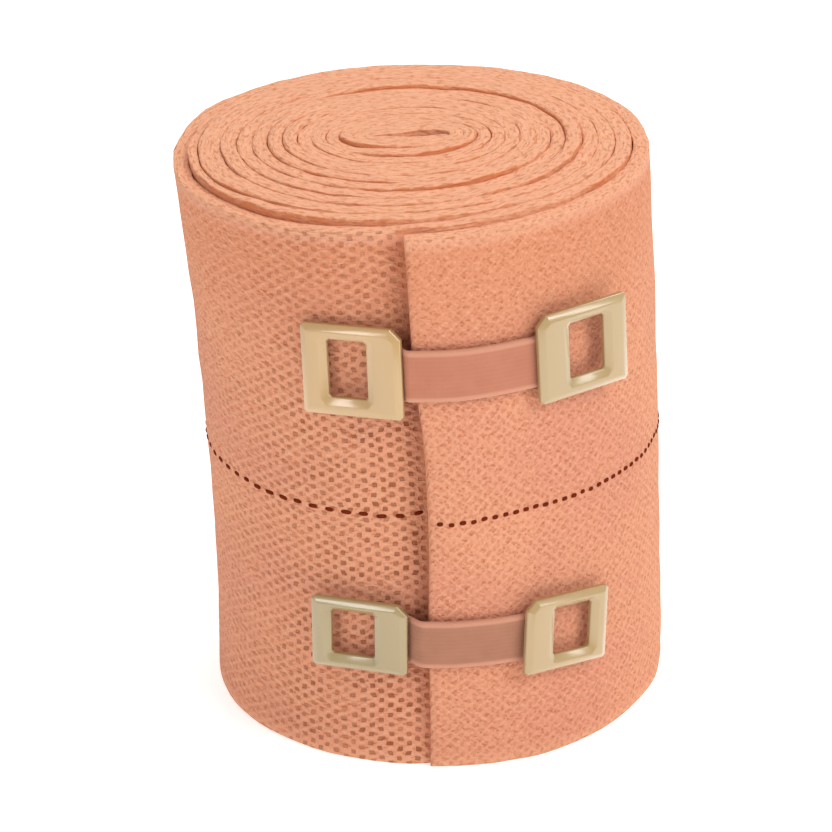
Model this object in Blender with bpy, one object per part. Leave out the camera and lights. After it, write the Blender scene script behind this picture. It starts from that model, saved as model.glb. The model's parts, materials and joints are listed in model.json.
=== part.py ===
"""A crepe bandage wound into a roll, with its free end held by two elastic clips.

The roll stands upright on one of its wound ends. The origin is the middle of that end, at z = 0.
Lengths are in metres, written as millimetres times MM. Azimuths are in degrees as seen from above,
from the front (-Y) round towards the right (+X).
"""

import math
from typing import NamedTuple

import bmesh
import bpy
from mathutils import Matrix, Vector

MM = 0.001

# The cloth and its winding
CLOTH_WIDTH = 80.0 * MM
FLAP_RADIUS = 33.8 * MM
CORE_HALF_LENGTH = 4.4 * MM
TURNS = 13.25
STEPS_PER_TURN = 40
EDGE_AZIMUTH = -0.9
PITCH = FLAP_RADIUS / (TURNS + 1.0)
END_STEP = round(TURNS * STEPS_PER_TURN)
WALL_END_STEP = END_STEP + STEPS_PER_TURN

# The leaning, slightly waisted column: x, y and girth at the base, half way up and at the top
LEAN_X = (0.0 * MM, 0.0 * MM, -2.05 * MM)
LEAN_Y = (0.0 * MM, -0.86 * MM, -1.72 * MM)
GIRTH = (1.003, 0.989, 1.0)
WINDING_CENTRE = Vector((-0.45 * MM, 0.35 * MM))

# The wound ends
RIM_HEIGHT = 80.0 * MM
CROWN_RISE = 1.3 * MM
RIM_ROUNDING = 0.4 * MM
GROOVE_DEPTH = 1.3 * MM
BASE_GROOVE_DEPTH = 0.9 * MM
BASE_FLAT_TURNS = 2.0
LAND_START = 0.23
GAP_WIDENING = 0.14

# The top falls to the outer turn's own height over a few steps, and the last groove runs out under the flap
DROP_LEAD_STEPS = 3.0
DROP_STEPS = 5.0
GROOVE_END_STEPS = 4.0

# The wall between the wound ends. A hair's angle tells the two sides of the free end apart.
WALL_ROWS = tuple(height * MM for height in (7, 14, 20, 26, 33, 42, 51, 57, 63, 68, 74))
EDGE_SWAY_SPREAD = 14.0
HAIR_ANGLE = 0.01


class Ease(NamedTuple):
    """A place, an azimuth or height, and the value there. Between rows the value eases over."""

    at: float
    value: float


class WallRow(NamedTuple):
    """How far the outer turn stands out of the even winding at five heights, by degrees right of its end."""

    right_of_end: float
    base: float
    lower_clip: float
    middle: float
    upper_clip: float
    top: float


class Gap(NamedTuple):
    """An open gap between two turns, by the turns that lie outside it, and its depth at the top."""

    first: float
    last: float
    depth: float


# How far the turns are pressed in or stand out, by azimuth. The inner turns follow less.
PRESSED = (
    Ease(-180.0, 0.5 * MM),
    Ease(-130.0, 0.6 * MM),
    Ease(-85.0, -0.1 * MM),
    Ease(-50.0, -0.3 * MM),
    Ease(-12.0, -0.3 * MM),
    Ease(2.0, -0.6 * MM),
    Ease(28.0, -1.3 * MM),
    Ease(45.0, -0.8 * MM),
    Ease(85.0, -0.1 * MM),
    Ease(130.0, 0.6 * MM),
    Ease(180.0, 0.5 * MM),
)
PRESS_BY_HEIGHT = (Ease(0.0, 0.3), Ease(30.0 * MM, 1.0))
# The outer turn near its free end, and the turn beneath it, left of that end
OUTER_TURN = (
    WallRow(-180.0, 0.0 * MM, 0.0 * MM, 0.0 * MM, 0.0 * MM, 0.0 * MM),
    WallRow(-120.0, -0.4 * MM, -0.3 * MM, 0.0 * MM, 0.0 * MM, 0.0 * MM),
    WallRow(-90.0, -0.4 * MM, -0.3 * MM, 0.0 * MM, 0.0 * MM, 0.0 * MM),
    WallRow(-45.0, 0.9 * MM, 0.3 * MM, 0.0 * MM, 0.0 * MM, 0.0 * MM),
    WallRow(-14.0, 1.3 * MM, 0.3 * MM, 0.0 * MM, 0.0 * MM, 0.1 * MM),
    WallRow(-HAIR_ANGLE, 1.4 * MM, 0.0 * MM, -0.45 * MM, -0.4 * MM, -0.1 * MM),
    WallRow(0.0, -0.3 * MM, -0.1 * MM, 0.45 * MM, 0.0 * MM, 0.0 * MM),
    WallRow(8.0, -0.1 * MM, 0.0 * MM, 0.65 * MM, 0.1 * MM, 0.1 * MM),
    WallRow(16.0, 0.4 * MM, 0.1 * MM, 0.2 * MM, 0.0 * MM, 0.0 * MM),
    WallRow(27.0, 0.9 * MM, 0.2 * MM, 0.0 * MM, 0.0 * MM, 0.0 * MM),
    WallRow(70.0, 0.5 * MM, 0.1 * MM, 0.0 * MM, 0.0 * MM, 0.0 * MM),
    WallRow(120.0, 0.0 * MM, 0.0 * MM, 0.0 * MM, 0.0 * MM, 0.0 * MM),
)
OUTER_TURN_HEIGHTS = (0.0 * MM, 20.0 * MM, 40.0 * MM, 60.0 * MM, 80.0 * MM)
# The top of the outer turn is lower than the rest, most of all on the left
OUTER_TURN_DROP = (
    Ease(-180.0, 0.1 * MM),
    Ease(-130.0, 0.3 * MM),
    Ease(-80.0, 1.3 * MM),
    Ease(-40.0, 1.2 * MM),
    Ease(-12.0, 0.8 * MM),
    Ease(20.0, 0.65 * MM),
    Ease(60.0, 0.35 * MM),
    Ease(110.0, 0.1 * MM),
    Ease(180.0, 0.1 * MM),
)
# How far right of its azimuth the free end lies, by height
FREE_EDGE = (
    Ease(0.0 * MM, -0.45 * MM),
    Ease(20.0 * MM, -0.50 * MM),
    Ease(38.0 * MM, 0.30 * MM),
    Ease(48.0 * MM, 0.40 * MM),
    Ease(61.0 * MM, -0.55 * MM),
    Ease(80.0 * MM, 0.05 * MM),
)
GAPS = (
    Gap(0.80, 0.99, 2.8 * MM),
    Gap(4.21, 4.47, 3.2 * MM),
    Gap(5.69, 6.03, 2.6 * MM),
    Gap(10.69, 11.20, 2.6 * MM),
    Gap(12.76, 13.25, 3.0 * MM),
)
GAP_FADE = 0.06

# Clearance between pieces that touch, and the angle at which two faces meet in a sharp edge
CLEARANCE = 0.36 * MM
SHARP_ANGLE = 35.0


class PlateSize(NamedTuple):
    """A windowed clip plate. The wide bar is the one that the elastic band comes out of."""

    width: float
    height: float
    wide_bar: float
    far_bar: float
    top_bar: float
    low_bar: float


class PlatePlace(NamedTuple):
    """Where a plate lies. Band side is +1 where the band leaves it on the right, and -1 on the left.

    The plate faces `azimuth` and is tipped up by `tip` and turned in its own plane by `turn` degrees.
    Its back is `distance` from the column's axis and its middle `sideways` of the line it faces along.
    """

    band_side: int
    azimuth: float
    tip: float
    turn: float
    distance: float
    sideways: float
    height: float


class BandPath(NamedTuple):
    """An elastic band: its width, its mid-height at each end, and the azimuths between which it runs."""

    width: float
    left_height: float
    right_height: float
    left_azimuth: float
    right_azimuth: float


UPPER_PLATE = PlateSize(13.8 * MM, 12.6 * MM, 4.8 * MM, 3.6 * MM, 2.1 * MM, 2.5 * MM)
LOWER_PLATE = PlateSize(13.4 * MM, 10.9 * MM, 4.6 * MM, 2.8 * MM, 1.8 * MM, 2.2 * MM)
PLATE_EDGE = 0.6 * MM
PLATE_CREST = 1.2 * MM
CREST_FROM_RIM = 1.0 * MM
CREST_FROM_WINDOW = 0.9 * MM
BAND_CORNER = 1.5 * MM
LOW_CORNER_SHARE = 0.5
FAR_CORNER = 0.8 * MM
WINDOW_CORNER = 0.4 * MM

BAND_THICKNESS = 0.7 * MM
BAND_STEPS = 26

PLATES = {
    "upper_clip_left_plate": (UPPER_PLATE, PlatePlace(1, -19.6, 3.0, 1.8, 32.2 * MM, 1.75 * MM, 60.4 * MM)),
    "upper_clip_right_plate": (UPPER_PLATE, PlatePlace(-1, 30.5, 0.0, 2.3, 32.9 * MM, 4.7 * MM, 60.6 * MM)),
    "lower_clip_left_plate": (LOWER_PLATE, PlatePlace(1, -14.8, -1.5, -1.8, 32.6 * MM, -2.3 * MM, 20.5 * MM)),
    "lower_clip_right_plate": (LOWER_PLATE, PlatePlace(-1, 32.2, 3.0, -5.4, 33.45 * MM, -0.6 * MM, 19.2 * MM)),
}
BANDS = {
    "upper_clip_band": BandPath(7.3 * MM, 60.5 * MM, 59.9 * MM, -8.6, 31.5),
    "lower_clip_band": BandPath(7.1 * MM, 20.2 * MM, 19.4 * MM, -11.0, 24.5),
}
# How high a band runs over the turn beneath, by degrees left of the free end: 1 is level with the flap
BAND_CLIMB = (Ease(0.0, 1.0), Ease(2.2, 0.2), Ease(4.0, 0.0))
BAND_EDGE_MARGIN = 0.6


def ease_between(rows, place, column=1):
    """The value at a place in a table, easing smoothly from row to row."""
    if place <= rows[0][0]:
        return rows[0][column]
    for low, high in zip(rows, rows[1:]):
        if place <= high[0]:
            share = (place - low[0]) / (high[0] - low[0])
            share *= share * (3.0 - 2.0 * share)
            return low[column] + (high[column] - low[column]) * share
    return rows[-1][column]


def parabola(ends_and_middle, share):
    """The curve through three values, at 0, one half and 1."""
    low, middle, high = ends_and_middle
    from_middle = share - 0.5
    from_end = share - 1.0
    return 2.0 * (low * from_middle * from_end - 2.0 * middle * share * from_end + high * share * from_middle)


def outward(azimuth):
    """The level direction away from the axis."""
    angle = math.radians(azimuth)
    return Vector((math.sin(angle), -math.cos(angle)))


def bearing(azimuth):
    """The same azimuth between -180 and 180."""
    return (azimuth + 180.0) % 360.0 - 180.0


def column_axis(height):
    """The axis of the leaning column."""
    share = height / CLOTH_WIDTH
    return Vector((parabola(LEAN_X, share), parabola(LEAN_Y, share)))


def seam_azimuth(step):
    """The winding runs clockwise seen from above, and ends at the free end."""
    return EDGE_AZIMUTH + 360.0 * (END_STEP - step) / STEPS_PER_TURN


def outer_turn_stand_out(right_of_end, height):
    """How far the outer turn stands out of the even winding."""
    columns = range(1, len(WallRow._fields))
    levels = [ease_between(OUTER_TURN, right_of_end, column) for column in columns]
    return ease_between(tuple(zip(OUTER_TURN_HEIGHTS, levels)), height)


def seam(step, height):
    """The level place of the seam between two turns, so many steps along the winding.

    From END_STEP on nothing lies outside it, so there it is the outer wall.
    """
    turn = step / STEPS_PER_TURN
    share = turn / (TURNS + 1.0)
    azimuth = seam_azimuth(step)
    press = ease_between(PRESSED, bearing(azimuth)) * share**3
    reach = PITCH * turn + press * ease_between(PRESS_BY_HEIGHT, height)
    if step >= END_STEP:
        left_of_end = 360.0 * (step - END_STEP) / STEPS_PER_TURN
        right_of_end = 360.0 - left_of_end
        beneath = left_of_end < 180.0
        reach += outer_turn_stand_out(min(-left_of_end, -HAIR_ANGLE) if beneath else right_of_end, height)
        nearness = max(0.0, 1.0 - min(left_of_end, right_of_end) / EDGE_SWAY_SPREAD)
        azimuth += math.degrees(ease_between(FREE_EDGE, height) / FLAP_RADIUS) * nearness
    girth = parabola(GIRTH, height / CLOTH_WIDTH)
    side = outward(azimuth)
    stretch = CORE_HALF_LENGTH * (1.0 - share)
    offset = Vector((side.x * (reach + stretch), side.y * reach)) * girth
    return column_axis(height) + WINDING_CENTRE + offset


def wall(azimuth, height):
    """The level place of the outer wall at an azimuth."""
    left_of_edge = (EDGE_AZIMUTH - azimuth) % 360.0
    return seam(END_STEP + STEPS_PER_TURN * left_of_edge / 360.0, height)


def gap_share(step):
    """How fully the seam is one of the open gaps, and that gap's depth."""
    turns_outside = (END_STEP - step) / STEPS_PER_TURN
    for gap in GAPS:
        inside = min(turns_outside - gap.first, gap.last - turns_outside)
        if inside > -GAP_FADE:
            return min(1.0, (inside + GAP_FADE) / (2.0 * GAP_FADE)), gap.depth
    return 0.0, GROOVE_DEPTH


def outer_turn_drop(step):
    """How much lower the outer turn's top is than the rest."""
    steps_in = step - (END_STEP - STEPS_PER_TURN) + DROP_LEAD_STEPS
    share = min(1.0, max(0.0, steps_in / DROP_STEPS))
    return ease_between(OUTER_TURN_DROP, bearing(seam_azimuth(step))) * share


def top_height(step, turn_offset=0.0):
    """The height of the crowned top over a turn."""
    share = (step / STEPS_PER_TURN + turn_offset) / (TURNS + 1.0)
    return RIM_HEIGHT + CROWN_RISE * (1.0 - share**2)


def top_seam_height(step):
    """The bottom of the groove between two turns, or the rounded rim of the outer turn."""
    if step >= END_STEP:
        return top_height(WALL_END_STEP) - RIM_ROUNDING - outer_turn_drop(step - STEPS_PER_TURN)
    share, depth = gap_share(step)
    groove = GROOVE_DEPTH + (depth - GROOVE_DEPTH) * share
    under_flap = min(1.0, (END_STEP - step) / GROOVE_END_STEPS)
    return top_height(step) - RIM_ROUNDING - (groove - RIM_ROUNDING) * under_flap


def base_seam_height(step):
    """The grooves of the underside, which is flat round the middle."""
    if step >= END_STEP:
        return RIM_ROUNDING
    turn = step / STEPS_PER_TURN
    grooved = min(1.0, max(0.0, turn - BASE_FLAT_TURNS))
    return BASE_GROOVE_DEPTH * grooved


def wound_end(shape, at_top):
    """One wound end: its seams, and a land between each two seams. Gives the seam and land vertices."""
    height = CLOTH_WIDTH if at_top else 0.0
    seam_height = top_seam_height if at_top else base_seam_height
    seams = []
    for step in range(WALL_END_STEP + 1):
        place = seam(step, height)
        seams.append(shape.verts.new((place.x, place.y, seam_height(step))))
    lands = []
    for step in range(END_STEP + 1):
        inner = seams[step].co
        outer = seams[step + STEPS_PER_TURN].co
        widening_in = GAP_WIDENING * gap_share(step)[0] if at_top else 0.0
        widening_out = GAP_WIDENING * gap_share(step + STEPS_PER_TURN)[0] if at_top else 0.0
        pair = []
        for share in (LAND_START + widening_in, 1.0 - LAND_START - widening_out):
            place = inner.lerp(outer, share)
            place.z = top_height(step, share) - outer_turn_drop(step) if at_top else 0.0
            pair.append(shape.verts.new(place))
        lands.append(pair)
    for step in range(END_STEP):
        here = (seams[step], *lands[step], seams[step + STEPS_PER_TURN])
        there = (seams[step + 1], *lands[step + 1], seams[step + 1 + STEPS_PER_TURN])
        for near in range(3):
            shape.faces.new((here[near], there[near], there[near + 1], here[near + 1]))
    return seams, lands


def core_fold(shape, seams, lands, at_top):
    """The flat first fold, inside the first turn of the seam: a ridge with a slope to each side."""
    half = STEPS_PER_TURN // 2
    ridge = {}
    for step in range(1, half):
        place = seams[step].co.lerp(seams[STEPS_PER_TURN - step].co, 0.5)
        place.z = top_height(0) if at_top else 0.0
        ridge[step] = shape.verts.new(place)
    first, last = ridge[1], ridge[half - 1]
    shape.faces.new((seams[0], seams[1], first, lands[0][0]))
    shape.faces.new((lands[0][0], first, lands[0][1]))
    shape.faces.new((lands[0][1], first, seams[STEPS_PER_TURN - 1], seams[STEPS_PER_TURN]))
    for step in range(1, half - 1):
        back = STEPS_PER_TURN - step
        shape.faces.new((seams[step], seams[step + 1], ridge[step + 1], ridge[step]))
        shape.faces.new((ridge[step], ridge[step + 1], seams[back - 1], seams[back]))
    shape.faces.new((seams[half - 1], seams[half], last))
    shape.faces.new((last, seams[half], seams[half + 1]))


def roll_wall(shape, base_seams, top_seams):
    """The outer wall from the free end all round to the turn beneath it. Gives its columns."""
    columns = []
    for step in range(END_STEP, WALL_END_STEP + 1):
        column = [base_seams[step]]
        for height in WALL_ROWS:
            place = seam(step, height)
            column.append(shape.verts.new((place.x, place.y, height)))
        column.append(top_seams[step])
        columns.append(column)
    for here, there in zip(columns, columns[1:]):
        join_columns(shape, here, there)
    return columns


def join_columns(shape, here, there):
    """A strip of faces between two columns of vertices."""
    for row in range(len(here) - 1):
        shape.faces.new((here[row], there[row], there[row + 1], here[row + 1]))


def build_roll():
    """The wound cloth as one solid, with the step of its free end."""
    shape = bmesh.new()
    ends = []
    for at_top in (False, True):
        seams, lands = wound_end(shape, at_top)
        core_fold(shape, seams, lands, at_top)
        shape.faces.new((seams[END_STEP], *lands[END_STEP], seams[WALL_END_STEP]))
        ends.append(seams)
    columns = roll_wall(shape, *ends)
    join_columns(shape, columns[-1], columns[0])
    return finish_mesh("bandage_roll", shape)


def plate_outline(shape, size, band_side, inset, corners, height):
    """Eight vertices round a plate or its window. Inset is from the wide, far, low and top sides."""
    wide, far, low, top = inset
    band_corner, far_corner = corners
    left = -size.width / 2.0 + far
    right = size.width / 2.0 - wide
    bottom = -size.height / 2.0 + low
    upper = size.height / 2.0 - top
    outline = (
        (left + far_corner, bottom),
        (right - band_corner * LOW_CORNER_SHARE, bottom),
        (right, bottom + band_corner * LOW_CORNER_SHARE),
        (right, upper - band_corner),
        (right - band_corner, upper),
        (left + far_corner, upper),
        (left, upper - far_corner),
        (left, bottom + far_corner),
    )
    return [shape.verts.new((along * band_side, up, height)) for along, up in outline]


def build_plate(name, size, place):
    """A pressed plate: a frame with bars that rise to a crest, round a window."""
    shape = bmesh.new()
    window = (size.wide_bar, size.far_bar, size.low_bar, size.top_bar)
    rim_corners = (BAND_CORNER, FAR_CORNER)
    window_corners = (WINDOW_CORNER, WINDOW_CORNER)
    crest_rim = (CREST_FROM_RIM,) * 4
    crest_window = tuple(side - CREST_FROM_WINDOW for side in window)
    loops = [
        plate_outline(shape, size, place.band_side, (0.0,) * 4, rim_corners, 0.0),
        plate_outline(shape, size, place.band_side, (0.0,) * 4, rim_corners, PLATE_EDGE),
        plate_outline(shape, size, place.band_side, crest_rim, rim_corners, PLATE_CREST),
        plate_outline(shape, size, place.band_side, crest_window, window_corners, PLATE_CREST),
        plate_outline(shape, size, place.band_side, window, window_corners, PLATE_EDGE),
        plate_outline(shape, size, place.band_side, window, window_corners, 0.0),
    ]
    for loop, following in zip(loops, loops[1:] + loops[:1]):
        join_columns(shape, loop + loop[:1], following + following[:1])
    plate = finish_mesh(name, shape)
    plate.matrix_world = plate_matrix(place)
    return plate


def plate_matrix(place):
    """The plate's own right, up and outward directions, and its middle."""
    away = outward(place.azimuth)
    tip = math.radians(place.tip)
    facing = Vector((away.x * math.cos(tip), away.y * math.cos(tip), math.sin(tip)))
    across = Vector((-away.y, away.x, 0.0))
    upward = facing.cross(across)
    axis = column_axis(place.height)
    middle = axis + away * place.distance + across.xy * place.sideways
    frame = Matrix((across, upward, facing)).transposed()
    turned = frame @ Matrix.Rotation(math.radians(place.turn), 3, "Z")
    return Matrix.Translation((middle.x, middle.y, place.height)) @ turned.to_4x4()


def free_edge_azimuth(height):
    """Where the free end lies at a height."""
    return EDGE_AZIMUTH + math.degrees(ease_between(FREE_EDGE, height) / FLAP_RADIUS)


def reach_beneath(azimuth, height, axis):
    """How far the flap, or the turn left of it, reaches from an axis at an azimuth and a height."""
    on_flap = azimuth > free_edge_azimuth(height) - BAND_EDGE_MARGIN
    if on_flap:
        azimuth = max(azimuth, EDGE_AZIMUTH + HAIR_ANGLE)
    else:
        azimuth = min(azimuth, EDGE_AZIMUTH - HAIR_ANGLE)
    return (wall(azimuth, height) - axis).length


def band_inner(azimuth, low, high):
    """The inner face of a band: round the flap, then down over its edge to the turn beneath."""
    middle = (low + high) / 2.0
    axis = column_axis(middle) + WINDING_CENTRE
    heights = (low, middle, high)
    reach = max(reach_beneath(azimuth, height, axis) for height in heights)
    edge = min(free_edge_azimuth(height) for height in heights) - BAND_EDGE_MARGIN
    if azimuth < edge:
        flap = max(reach_beneath(edge + HAIR_ANGLE, height, axis) for height in heights)
        reach += (flap - reach) * ease_between(BAND_CLIMB, edge - azimuth)
    return axis + outward(azimuth) * (reach + CLEARANCE)


def build_band(name, path):
    """A flat elastic band that runs round the roll from one plate to the other."""
    shape = bmesh.new()
    rings = []
    for step in range(BAND_STEPS + 1):
        share = step / BAND_STEPS
        azimuth = path.left_azimuth + (path.right_azimuth - path.left_azimuth) * share
        middle = path.left_height + (path.right_height - path.left_height) * share
        low = middle - path.width / 2.0
        high = middle + path.width / 2.0
        inner = band_inner(azimuth, low, high)
        outer = inner + outward(azimuth) * BAND_THICKNESS
        corners = ((inner, low), (outer, low), (outer, high), (inner, high))
        rings.append([shape.verts.new((place.x, place.y, height)) for place, height in corners])
    for here, there in zip(rings, rings[1:]):
        join_columns(shape, here + here[:1], there + there[:1])
    shape.faces.new(rings[0])
    shape.faces.new(rings[-1])
    return finish_mesh(name, shape)


def finish_mesh(name, shape):
    """An object from a closed shape, with its faces pointing out."""
    bmesh.ops.recalc_face_normals(shape, faces=shape.faces[:])
    mesh = bpy.data.meshes.new(name)
    shape.to_mesh(mesh)
    shape.free()
    mesh.shade_smooth()
    mesh.set_sharp_from_angle(angle=math.radians(SHARP_ANGLE))
    made = bpy.data.objects.new(name, mesh)
    bpy.context.scene.collection.objects.link(made)
    return made


def dress(made, colour, roughness, metallic=0.0):
    """A material of the piece's own."""
    material = bpy.data.materials.new(made.name)
    material.use_nodes = True
    shader = material.node_tree.nodes["Principled BSDF"]
    shader.inputs["Base Color"].default_value = (*colour, 1.0)
    shader.inputs["Roughness"].default_value = roughness
    shader.inputs["Metallic"].default_value = metallic
    made.data.materials.append(material)


def main():
    """Clear the scene, then build each piece in its place."""
    for leftover in list(bpy.data.objects):
        bpy.data.objects.remove(leftover, do_unlink=True)
    dress(build_roll(), colour=(0.80, 0.36, 0.21), roughness=0.95)
    for name, (size, place) in PLATES.items():
        dress(build_plate(name, size, place), colour=(0.66, 0.55, 0.33), roughness=0.35)
    for name, path in BANDS.items():
        dress(build_band(name, path), colour=(0.62, 0.25, 0.18), roughness=0.8)


main()
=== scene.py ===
"""The look of a crepe bandage roll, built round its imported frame.

The wound cloth is one long strip that follows the roll's own spiral, with a woven-in marker thread along
its middle. Two elastic clips hold its free end, each of two enamelled plates and a woven band.
Lengths are in metres, written as millimetres times MM. Azimuths are in degrees seen from above, from the
front (-Y) round towards the right (+X). A place along the winding is counted in steps of a fortieth turn.
"""

import json
import logging
import math
from dataclasses import dataclass
from enum import Enum
from typing import NamedTuple, Sequence

import bmesh
import bpy
import numpy as np
from mathutils import Matrix, Vector

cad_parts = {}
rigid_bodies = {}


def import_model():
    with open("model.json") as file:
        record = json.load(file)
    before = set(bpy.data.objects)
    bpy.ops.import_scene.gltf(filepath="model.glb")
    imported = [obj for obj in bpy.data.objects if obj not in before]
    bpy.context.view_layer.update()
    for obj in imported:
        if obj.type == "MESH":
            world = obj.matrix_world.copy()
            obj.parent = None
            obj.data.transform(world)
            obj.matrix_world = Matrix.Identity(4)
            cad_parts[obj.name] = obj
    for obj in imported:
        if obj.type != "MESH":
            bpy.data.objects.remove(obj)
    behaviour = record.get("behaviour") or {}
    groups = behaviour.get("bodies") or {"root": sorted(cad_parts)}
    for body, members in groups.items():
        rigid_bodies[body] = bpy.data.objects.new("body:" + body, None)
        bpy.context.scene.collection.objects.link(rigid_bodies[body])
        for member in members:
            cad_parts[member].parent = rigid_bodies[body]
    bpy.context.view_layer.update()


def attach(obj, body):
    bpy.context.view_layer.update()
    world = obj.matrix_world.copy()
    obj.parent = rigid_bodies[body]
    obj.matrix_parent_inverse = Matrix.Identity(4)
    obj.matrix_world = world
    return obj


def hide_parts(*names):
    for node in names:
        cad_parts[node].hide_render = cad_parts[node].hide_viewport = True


log = logging.getLogger("bandage_roll")

MM = 0.001
BODY = "root"

# How many waves make up an unevenness, the shortest as a share of the longest, and about how high they add up
WAVES = 6
SHORTEST_WAVE = 0.35
WAVES_PEAK = 1.4

# Points closer together than this are one point
WELD = 1e-7

# A mix node's sockets for its share and its two colours, and for the colour that it gives
MIX_INPUTS = (0, 6, 7)
MIX_OUTPUT = 2

Array = np.ndarray
Socket = bpy.types.NodeSocket
Colour = tuple[float, float, float]
Ramp = tuple[float, float]
Table = Sequence[tuple[float, float]]


class Slot(Enum):
    """The record's material slots."""

    CLOTH = "crepe_cloth"
    ENAMEL = "clip_enamel"
    ELASTIC = "clip_elastic"


class BandSide(Enum):
    """The side on which the elastic band leaves a plate."""

    LEFT = -1
    RIGHT = 1


# ---------------------------------------------------------------- small helpers


def in_mm(*rows: tuple[float, float]) -> Table:
    """A table whose values are given in millimetres."""
    return tuple((place, value * MM) for place, value in rows)


def all_in_mm(*rows: tuple[float, float]) -> Table:
    """A table whose places and values are both given in millimetres."""
    return tuple((place * MM, value * MM) for place, value in rows)


def ease(place: Array | float, rows: Table) -> Array:
    """Look a value up in a table, easing smoothly from row to row.

    Args:
        place: Where to look, as one number or an array.
        rows: (place, value) pairs, in rising order of place.

    Returns:
        The value at each place.
    """
    values = np.array([row[1] for row in rows])
    high, share = rows_beside(place, [row[0] for row in rows])
    return values[high - 1] + (values[high] - values[high - 1]) * share


def rows_beside(place: Array | float, marks: Sequence[float]) -> tuple[Array, Array]:
    """Find the two rows that each place lies between.

    Args:
        place: Where to look, as one number or an array.
        marks: The rows' places, in rising order.

    Returns:
        The number of the later row, and the eased share of the way to it.
    """
    ats = np.array(marks)
    held = np.clip(place, ats[0], ats[-1])
    high = np.clip(np.searchsorted(ats, held), 1, len(ats) - 1)
    return high, smooth((held - ats[high - 1]) / (ats[high] - ats[high - 1]))


def smooth(share: Array | float) -> Array:
    """An even share from 0 to 1, made to start and stop gently."""
    held = np.clip(share, 0.0, 1.0)
    return held * held * (3.0 - 2.0 * held)


def parabola(ends_and_middle: tuple[float, float, float], share: Array | float) -> Array:
    """The curve through three values.

    Args:
        ends_and_middle: The values at 0, one half and 1.
        share: Where to look, as one number or an array.

    Returns:
        The curve's value at each place.
    """
    low, middle, high = ends_and_middle
    from_middle = share - 0.5
    from_end = share - 1.0
    return 2.0 * (low * from_middle * from_end - 2.0 * middle * share * from_end + high * share * from_middle)


def bearing(azimuth: Array | float) -> Array:
    """The same azimuth between -180 and 180."""
    return (np.asarray(azimuth) + 180.0) % 360.0 - 180.0


def outward(azimuth: Array | float) -> Array:
    """The level directions away from the axis, with x and y last."""
    angle = np.radians(azimuth)
    return np.stack([np.sin(angle), -np.cos(angle)], axis=-1)


def ripple(seed: int, along: Array, longest: float, up: Array | float = 0.0) -> Array:
    """A gentle unevenness between about -1 and 1, the same on every run.

    Args:
        seed: Picks one unevenness out of many.
        along: Places along the cloth, in metres.
        longest: The longest wave, in metres.
        up: Places up the cloth, in metres, where it also changes upwards.

    Returns:
        The unevenness at each place.
    """
    draws = np.random.default_rng(seed)
    total = np.zeros(np.broadcast(along, up).shape)
    for _ in range(WAVES):
        length = longest * draws.uniform(SHORTEST_WAVE, 1.0)
        turn = draws.uniform(0.0, 2.0 * math.pi)
        phase = draws.uniform(0.0, 2.0 * math.pi)
        place = along * math.cos(turn) + up * math.sin(turn)
        total = total + np.sin(2.0 * math.pi * place / length + phase)
    return total / math.sqrt(WAVES) / WAVES_PEAK


def wrap_strip(
    name: str,
    loops: Array,
    chart: Array,
    attributes: dict[str, Array],
    sharp: float = 180.0,
) -> bpy.types.Object:
    """Make a closed strip from a grid that is wrapped round a row of section loops.

    Args:
        name: The object's name.
        loops: Points by station and place round the section, with x, y and z last. The last place of
            each loop is its first again. The first and last loops are flat or the same, so that they close.
        chart: The strip's own flat coordinates of each point.
        attributes: Named values of each point.
        sharp: The angle in degrees from which an edge stays sharp.

    Returns:
        The new object.
    """
    stations, around = loops.shape[:2]
    shape = bmesh.new()
    bmesh.ops.create_grid(shape, x_segments=stations - 1, y_segments=around - 1, size=1.0)
    chart_layer = shape.loops.layers.uv.new("cloth")
    value_layers = {key: shape.verts.layers.float.new(key) for key in attributes}
    cell = {}
    for vert in shape.verts:
        station = round((vert.co.x + 1.0) / 2.0 * (stations - 1))
        place = round((vert.co.y + 1.0) / 2.0 * (around - 1))
        cell[vert] = (station, place)
        for key, layer in value_layers.items():
            vert[layer] = attributes[key][station, place]
    for face in shape.faces:
        for corner in face.loops:
            corner[chart_layer].uv = chart[cell[corner.vert]]
    for vert, key in cell.items():
        vert.co = loops[key]
    bmesh.ops.remove_doubles(shape, verts=shape.verts[:], dist=WELD)
    return finish_object(name, shape, sharp)


def finish_object(name: str, shape: bmesh.types.BMesh, sharp: float = 180.0) -> bpy.types.Object:
    """Turn a shape's faces outwards and make a smooth object of it, at the origin.

    Args:
        name: The object's name.
        shape: The finished shape, which is freed.
        sharp: The angle in degrees from which an edge stays sharp.

    Returns:
        The new object.
    """
    bmesh.ops.recalc_face_normals(shape, faces=shape.faces[:])
    mesh = bpy.data.meshes.new(name)
    shape.to_mesh(mesh)
    shape.free()
    mesh.shade_smooth()
    mesh.set_sharp_from_angle(angle=math.radians(sharp))
    made = bpy.data.objects.new(name, mesh)
    bpy.context.scene.collection.objects.link(made)
    return made


def place_piece(
    piece: bpy.types.Object, material: bpy.types.Material, slot: Slot | None, *nodes: str
) -> None:
    """Dress a piece, hide the solids it stands for, and let it ride on the roll.

    Args:
        piece: The finished piece.
        material: Its only material.
        slot: Not used; the record's slot, or None where the finish is the piece's own.
        *nodes: The CAD nodes that it stands for.
    """
    piece.data.materials.append(material)
    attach(piece, BODY)
    if nodes:
        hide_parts(*nodes)
    log.info("%s: %d faces", piece.name, len(piece.data.polygons))


# ---------------------------------------------------------------- finishes


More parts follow.
